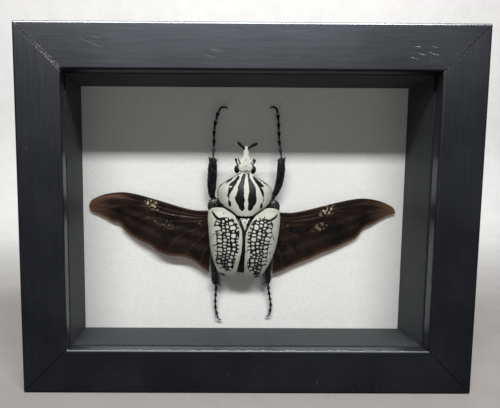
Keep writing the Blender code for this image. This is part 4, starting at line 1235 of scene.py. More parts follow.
@dataclass
class Trunk:
    """Thorax and abdomen under the wing cases, with the lobe in front of each shoulder."""

    side: Outline = (
        (0.0, 3.2), (8.0, 3.2), (13.0, 3.4), (16.2, 3.3), (17.0, 1.2), (16.8, -8.0), (16.4, -18.0),
        (14.6, -25.6), (10.2, -31.0), (5.0, -33.8), (0.0, -34.5),
    )
    grid: tuple[int, int] = (120, 70)
    below_cases: float = 2.0
    least_thickness: float = 1.0
    underside: float = 6.9
    keel_rise: float = 1.5
    groove_pitch: float = 4.6
    groove_depth: float = 0.28
    lobe: Triple = (17.9, 5.6, 7.9)
    lobe_radii: Triple = (4.2, 4.9, 2.2)

    def build(self, finish: bpy.types.Material) -> None:
        """The back follows the arch 2 mm lower, grooved across where its rings meet; the belly is a keel."""
        left = tuple((-across, along) for across, along in self.side)
        plan = rows_between(left, self.side, *self.grid)
        share = way_out(plan)
        ring = np.abs((plan[..., 1] / self.groove_pitch) % 1 - 0.5) * self.groove_pitch
        groove = self.groove_depth * np.exp(-((ring / 0.35) ** 2)) * ease(-4.0, -10.0, plan[..., 1])
        top = ARCH.height(plan) - self.below_cases
        bottom = np.minimum(self.underside + self.keel_rise * share**4 + groove, top - self.least_thickness)
        trunk = closed_sheet(raised(plan, top - groove), raised(plan, bottom)).marked(pale=0.0)
        lobes = [self.shoulder(side) for side in Side]
        put_in_frame("trunk", joined([trunk, *lobes]), finish, ("body",))

    def shoulder(self, side: Side) -> Patch:
        """A lobe: an ellipsoid with a rippled surface and a pale scaly bloom on top."""
        lobe = ball((side.value * self.lobe[0], *self.lobe[1:]), self.lobe_radii, 36)
        centre = np.array((side.value * self.lobe[0], *self.lobe[1:]))
        wave = 1 - 0.04 * np.abs(ripple(lobe.points, 1.8, 5))
        lobe.points = centre + (lobe.points - centre) * wave[:, None]
        lobe.values["pale"] = ease(0.2, 0.9, (lobe.points[:, 2] - centre[2]) / self.lobe_radii[2]) * 0.35
        return lobe


@dataclass
class HornedHead:
    """The head with its cheek lobes, its horn forked into two black leaves, and the two eyes."""

    side: Outline = (
        (2.9, 26.55), (4.3, 27.6), (4.5, 28.8), (3.9, 31.0), (3.4, 33.2), (2.3, 35.2), (1.8, 37.6),
        (1.4, 40.2), (0.9, 41.2),
    )
    top: Outline = ((26.0, 13.6), (30.0, 14.5), (34.0, 14.2), (38.0, 14.5), (41.5, 15.0))
    bottom: Outline = ((26.0, 8.6), (31.0, 9.2), (35.0, 11.2), (38.0, 12.2), (41.5, 13.2))
    midline: float = -0.25
    dome: float = 1.6
    dome_half_width: float = 4.0
    ridge_height: float = 0.25
    ridge_width: float = 0.8
    dip_depth: float = 0.3
    dip_place: float = 2.0
    dip_width: float = 0.9
    edge_line: float = 0.22
    grid: tuple[int, int] = (110, 60)
    prongs: tuple[Outline, ...] = (
        (
            (-0.9, 39.8, 14.0, 0.9, 0.7), (-2.8, 41.3, 14.4, 0.7, 0.55), (-4.5, 42.6, 14.9, 0.85, 0.45),
            (-5.4, 43.9, 15.3, 0.4, 0.3),
        ),
        (
            (0.4, 39.8, 14.0, 0.9, 0.7), (2.5, 41.3, 14.3, 0.7, 0.55), (4.5, 42.5, 14.8, 1.1, 0.45),
            (6.0, 43.2, 15.2, 0.7, 0.35),
        ),
    )
    eye: Triple = (4.85, 27.9, 11.2)
    eye_radii: Triple = (1.7, 2.4, 2.2)
    cheek: Outline = (
        (2.7, 31.4, 13.3, 0.5, 0.4), (3.5, 32.6, 13.6, 0.75, 0.35), (4.1, 33.8, 14.0, 0.6, 0.3),
        (4.3, 34.8, 14.4, 0.25, 0.2),
    )
    ticks: tuple[Outline, ...] = (
        ((-0.3, 34.4, 0.12), (-0.25, 33.2, 0.16), (-0.3, 32.4, 0.1)),
        ((-0.3, 30.6, 0.1), (-0.25, 29.4, 0.14)),
        ((-1.6, 27.35, 0.12), (-0.25, 27.1, 0.2), (1.2, 27.35, 0.12)),
    )

    def build(self, finish: bpy.types.Material) -> None:
        """The skull is a domed sheet, lowered by dome * share² towards its sides."""
        side = np.array(self.side)
        middle = (self.midline, 0)
        plan = rows_between(side * (-1, 1) + middle, side + middle, *self.grid, crowd=0.3)
        along = plan[..., 1]
        half_width = (plan[:, -1:, 0] - plan[:, :1, 0]) / 2
        off_middle = np.abs(plan[..., 0] - self.midline)
        share = off_middle / half_width
        dome = self.dome * np.minimum(half_width / self.dome_half_width, 1.0)
        ridge = self.ridge_height * np.exp(-((off_middle / self.ridge_width) ** 2)) * ease(28.0, 33.0, along)
        dip = self.dip_depth * np.exp(-(((off_middle - self.dip_place) / self.dip_width) ** 2))
        dip = dip * ease(34.5, 31.0, along) * ease(26.5, 28.5, along)
        top = through(self.top, along) - dome * share**2 + ridge - dip
        bottom = through(self.bottom, along) + dome * share**2
        drop = rounding(plan, rim_of(plan), 0.5)
        ticks = np.minimum.reduce([stroke(plan, path) for path in self.ticks])
        sides = (1 - share) * half_width - self.edge_line
        # "shade" below zero takes tan out of the head as painted light; less so at its sides, as painted
        # shade.
        values = {"mark": np.minimum(ticks, sides), "shade": 0.15 * share - 0.2}
        skull = closed_sheet(raised(plan, top - drop), raised(plan, bottom + drop), values)
        parts = [skull]
        parts += [self.black(smooth_tube(prong, 28, 20)) for prong in self.prongs]
        parts += [self.black(self.socket(side)) for side in Side]
        parts += [self.flap(side) for side in Side]
        put_in_frame("horned_head", joined(parts), finish, ("head",))

    def black(self, patch: Patch) -> Patch:
        """The patch, marked black all over."""
        return patch.marked(mark=-FAR, shade=0.0)

    def socket(self, side: Side) -> Patch:
        """An eye, at its side of the head."""
        return ball((self.midline + side.value * self.eye[0], *self.eye[1:]), self.eye_radii, 24)

    def flap(self, side: Side) -> Patch:
        """A cheek lobe: a small flattened tube, ivory with a black outer edge."""
        stations = np.array(self.cheek) * (side.value, 1, 1, 1, 1) + (self.midline, 0, 0, 0, 0)
        flap = smooth_tube(tuple(map(tuple, stations)), 20, 16)
        outward = np.abs(flap.points[:, 0] - self.midline) - through(
            tuple((row[1], abs(row[0] - self.midline)) for row in stations), flap.points[:, 1]
        )
        flap.values["mark"] = 0.2 - outward
        flap.values["shade"] = np.full(len(flap.points), 0.3)
        return flap


@dataclass
class Antennae:
    """The two short antennae: a jointed stalk and a club of three leaves."""

    stations: dict[Side, Outline] = field(default_factory=lambda: {
        Side.LEFT: (
            (-3.6, 30.0, 7.2, 0.5, 0.5), (-4.9, 31.3, 8.4, 0.45, 0.45), (-5.5, 32.6, 9.4, 0.5, 0.5),
            (-5.8, 33.6, 9.9, 0.6, 0.5), (-5.9, 34.2, 10.1, 0.4, 0.4),
        ),
        Side.RIGHT: (
            (3.4, 30.0, 7.2, 0.5, 0.5), (4.7, 31.1, 8.4, 0.45, 0.45), (5.2, 32.2, 9.4, 0.5, 0.5),
            (5.4, 33.2, 9.9, 0.6, 0.5), (5.5, 33.8, 10.1, 0.4, 0.4),
        ),
    })
    joints: int = 7
    leaf_radii: Triple = (0.32, 0.95, 0.62)

    def build(self, finish: bpy.types.Material) -> None:
        """Each stalk swells at its joints, and its club's leaves lie side by side."""
        for side, stations in self.stations.items():
            share = np.linspace(0, 1, 50)
            stalk = trace(stations, share)
            swell = 1 + 0.14 * np.cos(2 * math.pi * self.joints * share)
            stalk[:, 3:] *= swell[:, None]
            parts = [tube(stalk, 14)]
            for number in range(3):
                centre = np.array(stations[3][:3]) + (side.value * (number - 1) * 0.38, 0.1, 0.1 * number)
                parts.append(ball(tuple(centre), self.leaf_radii, 14))
            name = f"feeler_{side.label}"
            put_in_frame(name, joined(parts), finish, (f"antenna_{side.label}",))


@dataclass
class WingPath:
    """A vein of the wing, as (span, chord) shares, with the height of its ridge."""

    path: Outline
    ridge: float


@dataclass
class HindWings:
    """The two spread membranous wings: thin pleated sheets with raised veins, which droop to the card."""

    leading: Outline = (
        (21.9, 2.8), (29.0, 2.7), (38.0, 4.4), (47.0, 6.8), (56.0, 9.2), (65.0, 11.3), (73.0, 12.4),
        (81.0, 11.8), (89.5, 9.4), (94.5, 6.4), (95.8, 3.2),
    )
    trailing: dict[Side, Outline] = field(default_factory=lambda: {
        Side.LEFT: (
            (19.8, -36.4), (23.9, -33.5), (28.9, -29.6), (31.0, -28.4), (36.2, -26.6), (44.3, -26.2),
            (52.3, -23.6), (56.2, -20.7), (64.6, -16.8), (70.7, -13.2), (74.4, -9.9), (75.8, -7.7),
            (81.0, -5.8), (86.0, -3.2), (91.0, -1.0), (94.6, 0.8), (95.8, 3.2),
        ),
        Side.RIGHT: (
            (19.8, -36.4), (25.0, -34.6), (29.5, -32.3), (34.5, -29.8), (42.4, -26.4), (50.6, -22.4),
            (58.5, -19.1), (66.5, -15.1), (70.8, -12.8), (73.3, -10.6), (74.9, -7.6), (82.2, -2.8),
            (87.5, 0.5), (92.0, 2.6), (95.0, 3.4), (95.8, 3.2),
        ),
    })
    root: Outline = ((21.9, 2.8), (18.4, -3.0), (18.0, -17.0), (20.1, -27.0), (19.8, -36.4))
    leading_height: Outline = ((0.0, 7.6), (0.3, 7.2), (0.6, 5.4), (0.8, 3.6), (1.0, 1.8))
    trailing_height: dict[Side, Outline] = field(default_factory=lambda: {
        Side.LEFT: ((0.0, 4.6), (0.2, 5.8), (0.5, 4.6), (0.75, 2.4), (1.0, 1.8)),
        Side.RIGHT: ((0.0, 3.4), (0.2, 3.4), (0.5, 3.0), (0.75, 2.4), (1.0, 1.8)),
    })
    grid: tuple[int, int] = (220, 120)
    thickness: float = 0.4
    pleats: int = 4
    pleat_height: float = 0.3
    root_fade: float = 6.0
    crowd: float = 0.2
    vein_width: float = 0.32
    joint: dict[Side, tuple[float, float]] = field(default_factory=lambda: {
        Side.LEFT: (0.45, 0.13), Side.RIGHT: (0.39, 0.12),
    })
    speckle_glint: tuple[float, float] = (0.36, 0.42)
    band_strength: dict[Side, float] = field(default_factory=lambda: {Side.LEFT: 1.0, Side.RIGHT: 0.25})
    veins: tuple[WingPath, ...] = (
        WingPath(((0.0, 0.02), (0.25, 0.03), (0.48, 0.05), (0.75, 0.04), (0.98, 0.1)), 0.12),
        WingPath(((0.0, 0.09), (0.2, 0.12), (0.36, 0.13), (0.47, 0.12)), 0.22),
        WingPath(((0.0, 0.11), (0.16, 0.18), (0.32, 0.22), (0.45, 0.22)), 0.2),
        WingPath(((0.0, 0.12), (0.12, 0.24), (0.28, 0.32), (0.42, 0.38), (0.55, 0.56), (0.62, 0.95)), 0.14),
        WingPath(((0.47, 0.14), (0.62, 0.15), (0.8, 0.22), (0.97, 0.45)), 0.18),
        WingPath(((0.48, 0.2), (0.62, 0.3), (0.78, 0.48), (0.9, 0.8)), 0.14),
        WingPath(((0.46, 0.26), (0.56, 0.42), (0.66, 0.64), (0.72, 0.95)), 0.1),
        WingPath(((0.0, 0.14), (0.1, 0.34), (0.22, 0.55), (0.36, 0.95)), 0.08),
        WingPath(((0.0, 0.18), (0.06, 0.42), (0.13, 0.66), (0.2, 0.95)), 0.08),
        WingPath(((0.0, 0.28), (0.02, 0.5), (0.05, 0.72), (0.08, 0.95)), 0.08),
    )

    def build(self, finish: bpy.types.Material) -> None:
        """Makes both wings."""
        for side in Side:
            patch = self.sheet(side)
            name = f"spread_wing_{side.label}"
            put_in_frame(name, patch, finish, (f"hindwing_{side.label}",))

    def sheet(self, side: Side) -> Patch:
        """Height falls from the leading to the trailing edge, plus cosine pleats, ridges and crumples."""
        rows, columns = self.grid
        span = spread(rows, self.crowd)[:, None]
        chord = spread(columns, self.crowd)[None, :]
        plan = rows_between(self.leading, self.trailing[side], rows, columns, self.crowd)
        root_bend = trace(self.root, chord[0]) - plan[0]
        pull = np.exp(-self.root_fade * span) * (1 - span)
        plan = plan + root_bend[None] * pull[..., None]
        front = through(self.leading_height, span)
        behind = through(self.trailing_height[side], span)
        pleat = self.pleat_height * np.cos(2 * math.pi * self.pleats * chord) * (1 - span**2)
        top = front + (behind - front) * chord + pleat * np.sin(math.pi * chord)
        gap, ridge = self.vein_gaps(plan)
        fade = np.sin(math.pi * np.clip(span, 0.02, 0.98)) ** 0.3 * np.sin(math.pi * chord) ** 0.3
        crumple = 0.05 * ripple(plan, 6.0, 7 + side.value) * fade
        height = top + ridge + crumple
        drop = np.minimum(rounding(plan, rim_of(plan), self.thickness / 2), self.thickness / 2)
        trail = gap_to(plan, plan[:, -1])
        # Painted glints: the strength of the cream specks round the wing's fold, where its crumples catch the
        # light.
        at_fold_glint = np.hypot((span - self.joint[side][0]) / 0.07, (chord - self.joint[side][1]) / 0.13)
        at_speckle_glint = np.hypot((span - self.speckle_glint[0]) / 0.10, (chord - self.speckle_glint[1]) / 0.13)
        band = ease(0.60, 0.78, span) * ease(1.0, 0.86, span) * np.exp(-(((chord - 0.10) / 0.05) ** 2))
        flecks = np.maximum(ease(1.1, 0.4, at_fold_glint), 0.3 * ease(1.0, 0.3, at_speckle_glint))
        values = {
            "vein": gap, "trail": trail, "span": span * np.ones(top.shape), "joint": flecks,
            "band": band * self.band_strength[side],
        }
        plan = plan * (side.value, 1)
        return closed_sheet(raised(plan, height - drop), raised(plan, height - self.thickness + drop), values)

    def on_plan(self, plan: Array, shares: Array) -> Array:
        """Plan points at (span, chord) shares, mixed from the four grid points round each."""
        rows, columns = plan.shape[:2]
        row = np.interp(shares[:, 0], spread(rows, self.crowd), np.arange(rows))
        column = np.interp(shares[:, 1], spread(columns, self.crowd), np.arange(columns))
        low_row = np.minimum(row.astype(int), rows - 2)
        low_column = np.minimum(column.astype(int), columns - 2)
        down, right = (row - low_row)[:, None], (column - low_column)[:, None]
        above = plan[low_row, low_column] * (1 - right) + plan[low_row, low_column + 1] * right
        below = plan[low_row + 1, low_column] * (1 - right) + plan[low_row + 1, low_column + 1] * right
        return above * (1 - down) + below * down

    def vein_gaps(self, plan: Array) -> tuple[Array, Array]:
        """The distance to the nearest vein, and the height of the ridges, which fall off as exp(-(d/w)²)."""
        nearest = np.full(plan.shape[:2], FAR)
        ridge = np.zeros(plan.shape[:2])
        for vein in self.veins:
            shares = trace(vein.path, np.linspace(0, 1, 30))
            gap = gap_to(plan, self.on_plan(plan, shares))
            nearest = np.minimum(nearest, gap)
            ridge = np.maximum(ridge, vein.ridge * np.exp(-((gap / self.vein_width) ** 2)))
        return nearest, ridge


@dataclass(frozen=True)
class Fringe:
    """Hairs along a stretch of a leg, from share to share of its length: their side, length and count."""

    start: float
    end: float
    side: int
    length: float
    count: int


@dataclass
class Leg:
    """One leg: thigh and shank, a foot of beads, two claws, spines and hairs."""

    name: str
    upper: Outline
    foot: Outline
    claw: Outline
    spines: tuple[tuple[Outline, float], ...] = ()
    beads: int = 5
    scale: float = 1.0
    knee: float = 0.42
    fringes: tuple[Fringe, ...] = ()
    seed: int = 1
    bead_steps: Outline = (
        (0.02, 0.48), (0.2, 0.57), (0.45, 0.7), (0.66, 0.94), (0.82, 1.17), (0.93, 1.04), (0.99, 0.55),
    )
    foot_radius: float = 0.95
    flatness: float = 0.9
    claw_radii: Outline = ((0.0, 0.55), (0.3, 0.5), (0.6, 0.38), (0.85, 0.22), (1.0, 0.1))
    second_claw_drop: float = 0.9

    def build(self, finish: bpy.types.Material) -> None:
        """Joins the leg's parts into one piece."""
        share = np.linspace(0, 1, 90)
        shaft = trace(self.upper, share)
        waist = 1 - 0.22 * np.exp(-(((share - self.knee) / 0.025) ** 2))
        shaft[:, 3:] *= waist[:, None]
        upper = tube(shaft, 28)
        wave = 0.022 * ripple(upper.points, 1.8, self.seed)
        centre = trace(self.upper, upper.values["share"])[:, :3]
        upper.points = upper.points + (upper.points - centre) * wave[:, None]
        parts = [upper, self.beaded_foot(), *self.claws()]
        for path, radius in self.spines:
            root, tip = np.array(path)
            steps = np.linspace(0, 1, 8)[:, None]
            radii = radius * (1 - steps**1.6 * 0.88)
            parts.append(tube(np.concatenate([root + (tip - root) * steps, radii, radii], axis=1), 10))
        parts += [self.hairs(fringe, shaft) for fringe in self.fringes]
        put_in_frame(f"{self.name}_limb", joined(parts), finish, (self.name,))

    def beaded_foot(self) -> Patch:
        """The foot: its radius swells along each bead, and two short spurs stand at each bead's far end."""
        steps = np.array(self.bead_steps)
        shares = (np.arange(self.beads)[:, None] + steps[:, 0]).reshape(-1) / self.beads
        radii = self.foot_radius * self.scale * np.tile(steps[:, 1], self.beads)
        line = trace(self.foot, shares)
        rings = np.column_stack([line, radii, radii * self.flatness])
        ends = trace(self.foot, (np.arange(self.beads) + 0.8) / self.beads)
        ahead = trace(self.foot, np.clip((np.arange(self.beads) + 1.15) / self.beads, 0, 1))
        along = unit_rows(ahead - ends)
        aside = np.cross(along, UP)
        roots = np.concatenate([ends + aside * 0.6 * self.scale, ends - aside * 0.6 * self.scale])
        lean = np.concatenate([along * 1.7 + aside * 1.1, along * 1.7 - aside * 1.1]) * self.scale
        spurs = bristles(roots, roots + lean, 0.2 * self.scale).marked(hair=0.0)
        return joined([tube(rings, 18, 0.3), spurs])

    def claws(self) -> list[Patch]:
        """The two claws, one above the other, each narrowing to its hooked tip."""
        share = np.linspace(0, 1, 26)
        radii = through(self.claw_radii, share) * self.scale
        first = np.column_stack([trace(self.claw, 0.06 + 0.94 * share), radii, radii])
        second = first.copy()
        second[:, 2] += self.second_claw_drop * ease(0.0, 0.3, share)
        second[:, 1] += 0.5 * share
        return [tube(first, 12), tube(second, 12)]

    def hairs(self, fringe: Fringe, shaft: Array) -> Patch:
        """A fringe: hairs that start on the shaft's surface and lean outwards and towards the foot."""
        chance = np.random.default_rng(self.seed + fringe.count)
        share = np.sort(chance.uniform(fringe.start, fringe.end, fringe.count))
        at = share * (len(shaft) - 1)
        low = np.floor(at).astype(int)
        ring = shaft[low] + (shaft[np.minimum(low + 1, len(shaft) - 1)] - shaft[low]) * (at - low)[:, None]
        along = unit_rows(np.gradient(ring[:, :3], axis=0))
        aside = np.cross(along, UP) * fringe.side
        turn = chance.uniform(-0.9, 0.9, fringe.count)[:, None]
        out = aside * np.cos(turn) + np.array(UP) * np.sin(turn)
        root = ring[:, :3] + out * ring[:, 3:4] * 0.85
        length = fringe.length * chance.uniform(0.6, 1.15, fringe.count)[:, None]
        tip = root + (out * 0.75 + along * 0.65) * length
        bend = out * length * 0.12
        return bristles(root, tip, 0.07, bend)


@dataclass
class Legs:
    """The six legs. The middle pair is folded under the wings, alike on both sides."""

    def all(self) -> list[Leg]:
        """The legs, each with its own curves."""
        middle = Leg(
            name="midleg_left",
            upper=(
                (-5.0, -6.5, 4.6, 1.9, 1.7), (-11.0, -7.2, 4.3, 2.1, 1.8), (-15.8, -9.2, 3.6, 1.7, 1.5),
                (-17.6, -11.8, 3.2, 1.5, 1.3), (-19.9, -15.6, 3.0, 1.7, 1.2), (-22.0, -19.2, 2.8, 1.5, 1.1),
                (-22.4, -19.9, 2.8, 1.0, 0.8),
            ),
            foot=((-22.5, -20.2, 2.6), (-23.7, -23.2, 2.1), (-24.2, -25.6, 1.8), (-24.2, -27.6, 1.6)),
            claw=((-24.2, -27.6, 1.6), (-23.9, -29.2, 1.4), (-22.8, -30.2, 1.1)),
            beads=3, scale=0.75, knee=0.58, seed=31,
        )
        other = Leg(
            name="midleg_right", upper=self.mirrored(middle.upper), foot=self.mirrored(middle.foot),
            claw=self.mirrored(middle.claw), beads=3, scale=0.75, knee=0.58, seed=37,
        )
        return [*self.fore(), middle, other, *self.hind()]

    def mirrored(self, points: Outline) -> Outline:
        """The same points on the other side of the body."""
        return tuple((-point[0], *point[1:]) for point in points)

    def fore(self) -> list[Leg]:
        """The two forelegs, which reach forward on both sides of the head."""
        fringes = (Fringe(0.6, 0.95, -1, 0.8, 26), Fringe(0.6, 0.95, 1, 0.7, 22))
        left = Leg(
            name="foreleg_left",
            upper=(
                (-7.0, 9.5, 4.6, 2.0, 1.9), (-12.5, 8.2, 4.4, 2.3, 2.0), (-17.4, 8.6, 4.1, 2.1, 1.7),
                (-19.3, 11.6, 4.7, 2.0, 1.6), (-19.7, 17.0, 5.8, 2.7, 1.5), (-19.6, 25.0, 6.8, 2.85, 1.5),
                (-19.5, 31.5, 7.2, 2.4, 1.4), (-19.4, 34.4, 7.2, 1.6, 1.1),
            ),
            foot=(
                (-19.4, 35.0, 7.0), (-19.1, 43.4, 4.6), (-19.1, 51.8, 3.4), (-17.9, 59.2, 3.0),
                (-17.0, 62.4, 2.9),
            ),
            claw=((-17.0, 62.4, 2.9), (-15.6, 64.8, 2.8), (-13.3, 65.5, 2.3), (-11.0, 64.8, 1.6)),
            spines=(
                (((-20.9, 32.2, 7.2), (-22.0, 35.4, 7.3)), 0.9),
                (((-18.2, 31.8, 7.2), (-16.6, 34.0, 7.2)), 0.8),
                (((-21.6, 26.5, 6.9), (-22.6, 28.4, 7.0)), 0.6),
            ),
            fringes=fringes, knee=0.36, seed=3,
        )
        right = Leg(
            name="foreleg_right",
            upper=(
                (7.0, 10.6, 4.6, 2.0, 1.9), (12.0, 9.4, 4.4, 2.3, 2.0), (16.6, 10.4, 4.1, 2.0, 1.7),
                (19.0, 13.6, 4.7, 1.9, 1.6), (21.2, 19.5, 5.8, 2.3, 1.5), (21.9, 26.0, 6.8, 2.45, 1.5),
                (21.9, 32.5, 7.2, 2.2, 1.4), (21.9, 35.4, 7.2, 1.5, 1.1),
            ),
            foot=(
                (21.9, 36.0, 7.0), (21.3, 41.2, 5.4), (20.6, 46.3, 4.4), (20.2, 53.7, 3.4), (19.4, 62.2, 2.9),
            ),
            claw=((19.4, 62.2, 2.9), (18.3, 65.3, 2.8), (16.2, 66.4, 2.3), (14.1, 65.3, 1.6)),
            spines=(
                (((23.2, 33.2, 7.2), (24.3, 36.8, 7.3)), 0.9), (((20.9, 32.6, 7.2), (19.4, 34.8, 7.2)), 0.8),
                (((23.7, 27.5, 6.9), (24.7, 29.4, 7.0)), 0.6),
            ),
            fringes=fringes, knee=0.36, seed=5,
        )
        return [left, right]

    def hind(self) -> list[Leg]:
        """The two hind legs, which reach back past the wing cases."""
        left = Leg(
            name="hindleg_left",
            upper=(
                (-5.5, -14.0, 4.4, 2.2, 1.9), (-11.5, -19.0, 4.2, 2.6, 2.0), (-16.4, -25.3, 4.0, 2.1, 1.8),
                (-17.4, -30.0, 4.2, 1.7, 1.5), (-16.8, -36.0, 4.8, 1.8, 1.5), (-16.0, -41.6, 5.0, 2.0, 1.4),
                (-15.7, -43.4, 5.0, 1.3, 1.0),
            ),
            foot=(
                (-15.6, -43.9, 4.8), (-15.3, -48.1, 4.0), (-15.5, -52.3, 3.2), (-15.4, -56.4, 2.7),
                (-14.9, -60.9, 2.3), (-14.1, -63.8, 2.1),
            ),
            claw=((-14.1, -63.8, 2.1), (-13.5, -66.0, 1.9), (-12.4, -67.3, 1.5), (-11.0, -67.5, 1.1)),
            spines=(
                (((-15.4, -41.4, 5.0), (-12.3, -45.2, 4.7)), 0.7),
                (((-15.9, -42.2, 5.2), (-14.0, -46.6, 5.2)), 0.6),
            ),
            fringes=(Fringe(0.5, 0.97, -1, 3.2, 170), Fringe(0.55, 0.97, 1, 1.4, 60)),
            scale=0.95, knee=0.42, seed=13,
        )
        right = Leg(
            name="hindleg_right",
            upper=(
                (5.5, -14.0, 4.4, 2.2, 1.9), (11.5, -19.0, 4.2, 2.6, 2.0), (16.0, -25.0, 4.0, 2.1, 1.8),
                (17.2, -29.6, 4.2, 1.7, 1.5), (16.9, -35.2, 4.8, 1.8, 1.5), (16.9, -40.0, 5.0, 2.0, 1.4),
                (17.2, -41.8, 5.0, 1.3, 1.0),
            ),
            foot=(
                (17.3, -42.3, 4.8), (17.8, -46.1, 4.0), (18.6, -49.9, 3.2), (19.4, -54.0, 2.7),
                (19.9, -58.1, 2.3), (19.4, -61.2, 2.1),
            ),
            claw=((19.4, -61.2, 2.1), (19.1, -63.0, 1.9), (18.2, -64.4, 1.5), (16.9, -64.6, 1.1)),
            spines=(
                (((16.3, -40.2, 5.0), (13.2, -43.6, 4.7)), 0.7),
                (((16.8, -41.0, 5.2), (15.1, -45.4, 5.2)), 0.6),
            ),
            fringes=(Fringe(0.5, 0.97, 1, 3.2, 170), Fringe(0.55, 0.97, -1, 1.4, 60)),
            scale=0.95, knee=0.42, seed=17,
        )
        return [left, right]


@dataclass
class WingPins:
    """The two short steel pins, each slanting through a wing into the card."""

    head: Triple = (26.8, -4.8, 12.0)
    wing: Triple = (24.9, -7.4, 6.4)
    point_height: float = -1.2
    profile: Outline = (
        (0.0, 0.05), (0.08, 0.15), (0.3, 0.2), (0.86, 0.25), (0.9, 0.25), (0.92, 0.42), (0.95, 0.5),
        (0.98, 0.42), (1.0, 0.15),
    )

    def build(self, finish: bpy.types.Material) -> None:
        """The radius along the pin: a fine point, a straight shank and a small round head."""
        head, wing = np.array(self.head), np.array(self.wing)
        point = wing + (head - wing) * (self.point_height - wing[2]) / (head[2] - wing[2])
        share = np.linspace(0, 1, 60)
        radii = np.interp(share, *np.array(self.profile).T)
        line = point + (head - point) * share[:, None]
        for side in Side:
            stations = np.column_stack([line * (side.value, 1, 1), radii, radii])
            name = f"steel_pin_{side.label}"
            put_in_frame(name, tube(stations, 16), finish, (f"wing_pin_{side.label}",))


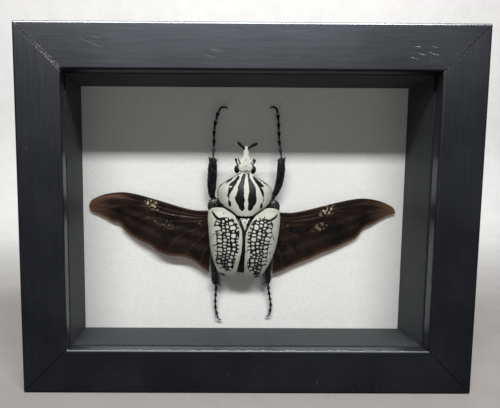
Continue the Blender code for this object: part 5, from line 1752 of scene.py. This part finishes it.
@dataclass
class Studio:
    """Pale floor and backdrop, one long lamp in front and above, low light all round, and the camera."""

    floor_size: float = 4.0
    backdrop_distance: float = 0.75
    backdrop_bend: float = 0.25
    backdrop_height: float = 2.2
    near_tones: tuple[Colour, Colour] = ((0.116, 0.111, 0.108), (0.106, 0.101, 0.098))
    far_tones: tuple[Colour, Colour] = ((0.35, 0.352, 0.355), (0.325, 0.327, 0.33))
    lamp_place: Triple = (0.0, -1.02, 1.30)
    lamp_aim: Triple = (0.0, 0.0145, 0.10)
    lamp_size: tuple[float, float] = (1.7, 0.14)
    lamp_power: float = 113.0
    lamp_colour: Colour = (1.0, 0.985, 0.96)
    back_place: Triple = (0.15, 0.62, 0.85)
    back_size: tuple[float, float] = (0.9, 0.4)
    back_power: float = 5.0
    room_light: Colour = (0.018, 0.0160, 0.0145)
    camera_place: Triple = (-0.025221, -0.251218, 0.115183)
    camera_turn: Triple = (-0.275, -5.04, -0.316)
    lens: float = 30.486
    shift: tuple[float, float] = (0.0896, 0.0398)

    def build(self) -> None:
        """Sets the stage, the light and the camera."""
        bpy.context.scene.view_settings.view_transform = "Standard"
        self.stage()
        self.light()
        self.camera()

    def stage(self) -> None:
        """A floor that curves up into a backdrop: one strip, swept along x."""
        wall, bend = self.backdrop_distance, self.backdrop_bend
        depth = np.array([-2.0, -0.3, 0.0, 0.3, wall - bend])
        turn = np.linspace(0, math.pi / 2, 13)
        y = np.concatenate([depth, wall - bend + bend * np.sin(turn[1:]), [wall]])
        z = np.concatenate([0 * depth, bend * (1 - np.cos(turn[1:])), [self.backdrop_height]])
        half = self.floor_size / 2
        points = np.concatenate([
            np.column_stack([np.full(len(y), side * half), y, z]) for side in (-1, 1)
        ])
        count = len(y)
        index = np.arange(count - 1)
        faces = np.stack([index, index + count, index + count + 1, index + 1], axis=-1)
        mesh = bpy.data.meshes.new("pale_stage")
        mesh.from_pydata(points.tolist(), [], faces.tolist())
        mesh.shade_smooth()
        mix = Recipe("pale_board")
        cloud = mix.noise(mix.place(30.0), 4.0, 0.6)
        where = mix.node("ShaderNodeTexCoord", {}).outputs["Object"]
        depth = mix.node("ShaderNodeSeparateXYZ", {"Vector": where}).outputs["Y"]
        mottle = mix.rise(cloud, 0.3, 0.8)
        near, far = (mix.blend(mottle, *tones) for tones in (self.near_tones, self.far_tones))
        colour = mix.blend(mix.rise(depth, 0.05, 0.7), near, far)
        shader = mix.surface({"Base Color": colour, "Roughness": 0.8, "Normal": mix.bump(cloud, 0.0004)})
        mesh.materials.append(mix.done(shader))
        strip = bpy.data.objects.new("pale_stage", mesh)
        bpy.context.scene.collection.objects.link(strip)
        strip.visible_glossy = False

    def lamp(self, name: str, place: Triple, size: tuple[float, float], power: float) -> None:
        """A soft oblong lamp, aimed at the beetle.

        Args:
            name: The lamp's name.
            place: Where it hangs, in metres.
            size: Its width and height.
            power: Its power in watts.
        """
        data = bpy.data.lights.new(name, "AREA")
        data.shape = "RECTANGLE"
        data.size, data.size_y = size
        data.energy = power
        data.color = self.lamp_colour
        lamp = bpy.data.objects.new(name, data)
        lamp.location = place
        aim = Vector(self.lamp_aim) - Vector(place)
        lamp.rotation_euler = aim.to_track_quat("-Z", "Y").to_euler()
        lamp.visible_camera = False
        bpy.context.scene.collection.objects.link(lamp)

    def light(self) -> None:
        """The long lamp in front, a weak one behind for the back board, and a low even light all round."""
        self.lamp("long_lamp", self.lamp_place, self.lamp_size, self.lamp_power)
        self.lamp("back_lamp", self.back_place, self.back_size, self.back_power)
        world = bpy.data.worlds.new("room")
        world.use_nodes = True
        world.node_tree.nodes["Background"].inputs["Color"].default_value = (*self.room_light, 1.0)
        bpy.context.scene.world = world

    def camera(self) -> None:
        """The camera that was fitted to the frame's corners: a view from a little above and to the left."""
        data = bpy.data.cameras.new("viewer")
        data.sensor_fit = "HORIZONTAL"
        data.sensor_width = 36.0
        data.lens = self.lens
        data.shift_x, data.shift_y = self.shift
        data.clip_start = 0.01
        viewer = bpy.data.objects.new("viewer", data)
        yaw, pitch, roll = (math.radians(angle) for angle in self.camera_turn)
        turn = Matrix.Rotation(yaw, 4, "Z") @ Matrix.Rotation(pitch, 4, "X")
        turn = turn @ Matrix.Rotation(roll, 4, "Y") @ Matrix.Rotation(math.pi / 2, 4, "X")
        viewer.matrix_world = Matrix.Translation(self.camera_place) @ turn
        bpy.context.scene.collection.objects.link(viewer)
        bpy.context.scene.camera = viewer


def main() -> None:
    """Builds the studio, the frame and the beetle in order."""
    logging.basicConfig(level=logging.INFO, format="%(message)s")
    Studio().build()
    FrameBox().build()

    shell = Ivory("ivory_shell_finish").material()
    net = Ivory("ivory_net_finish", ragged=0.16).material()
    chitin = Chitin("black_chitin").material()
    Trunk().build(chitin)
    NeckShield().build(shell)
    # Painted light: the head gets a brighter copy of the ivory than the shield and the wing cases.
    HornedHead().build(Ivory("ivory_head_lit_finish", ivory=(0.72, 0.71, 0.665)).material())
    Antennae().build(chitin)
    Scutellum().build(shell)
    for case in (LEFT_CASE, RIGHT_CASE):
        case.build(net)
    HindWings().build(Membrane().material())
    for leg in Legs().all():
        leg.build(chitin)
    WingPins().build(Steel("pin_steel").material())


if __name__ == "__main__":
    main()
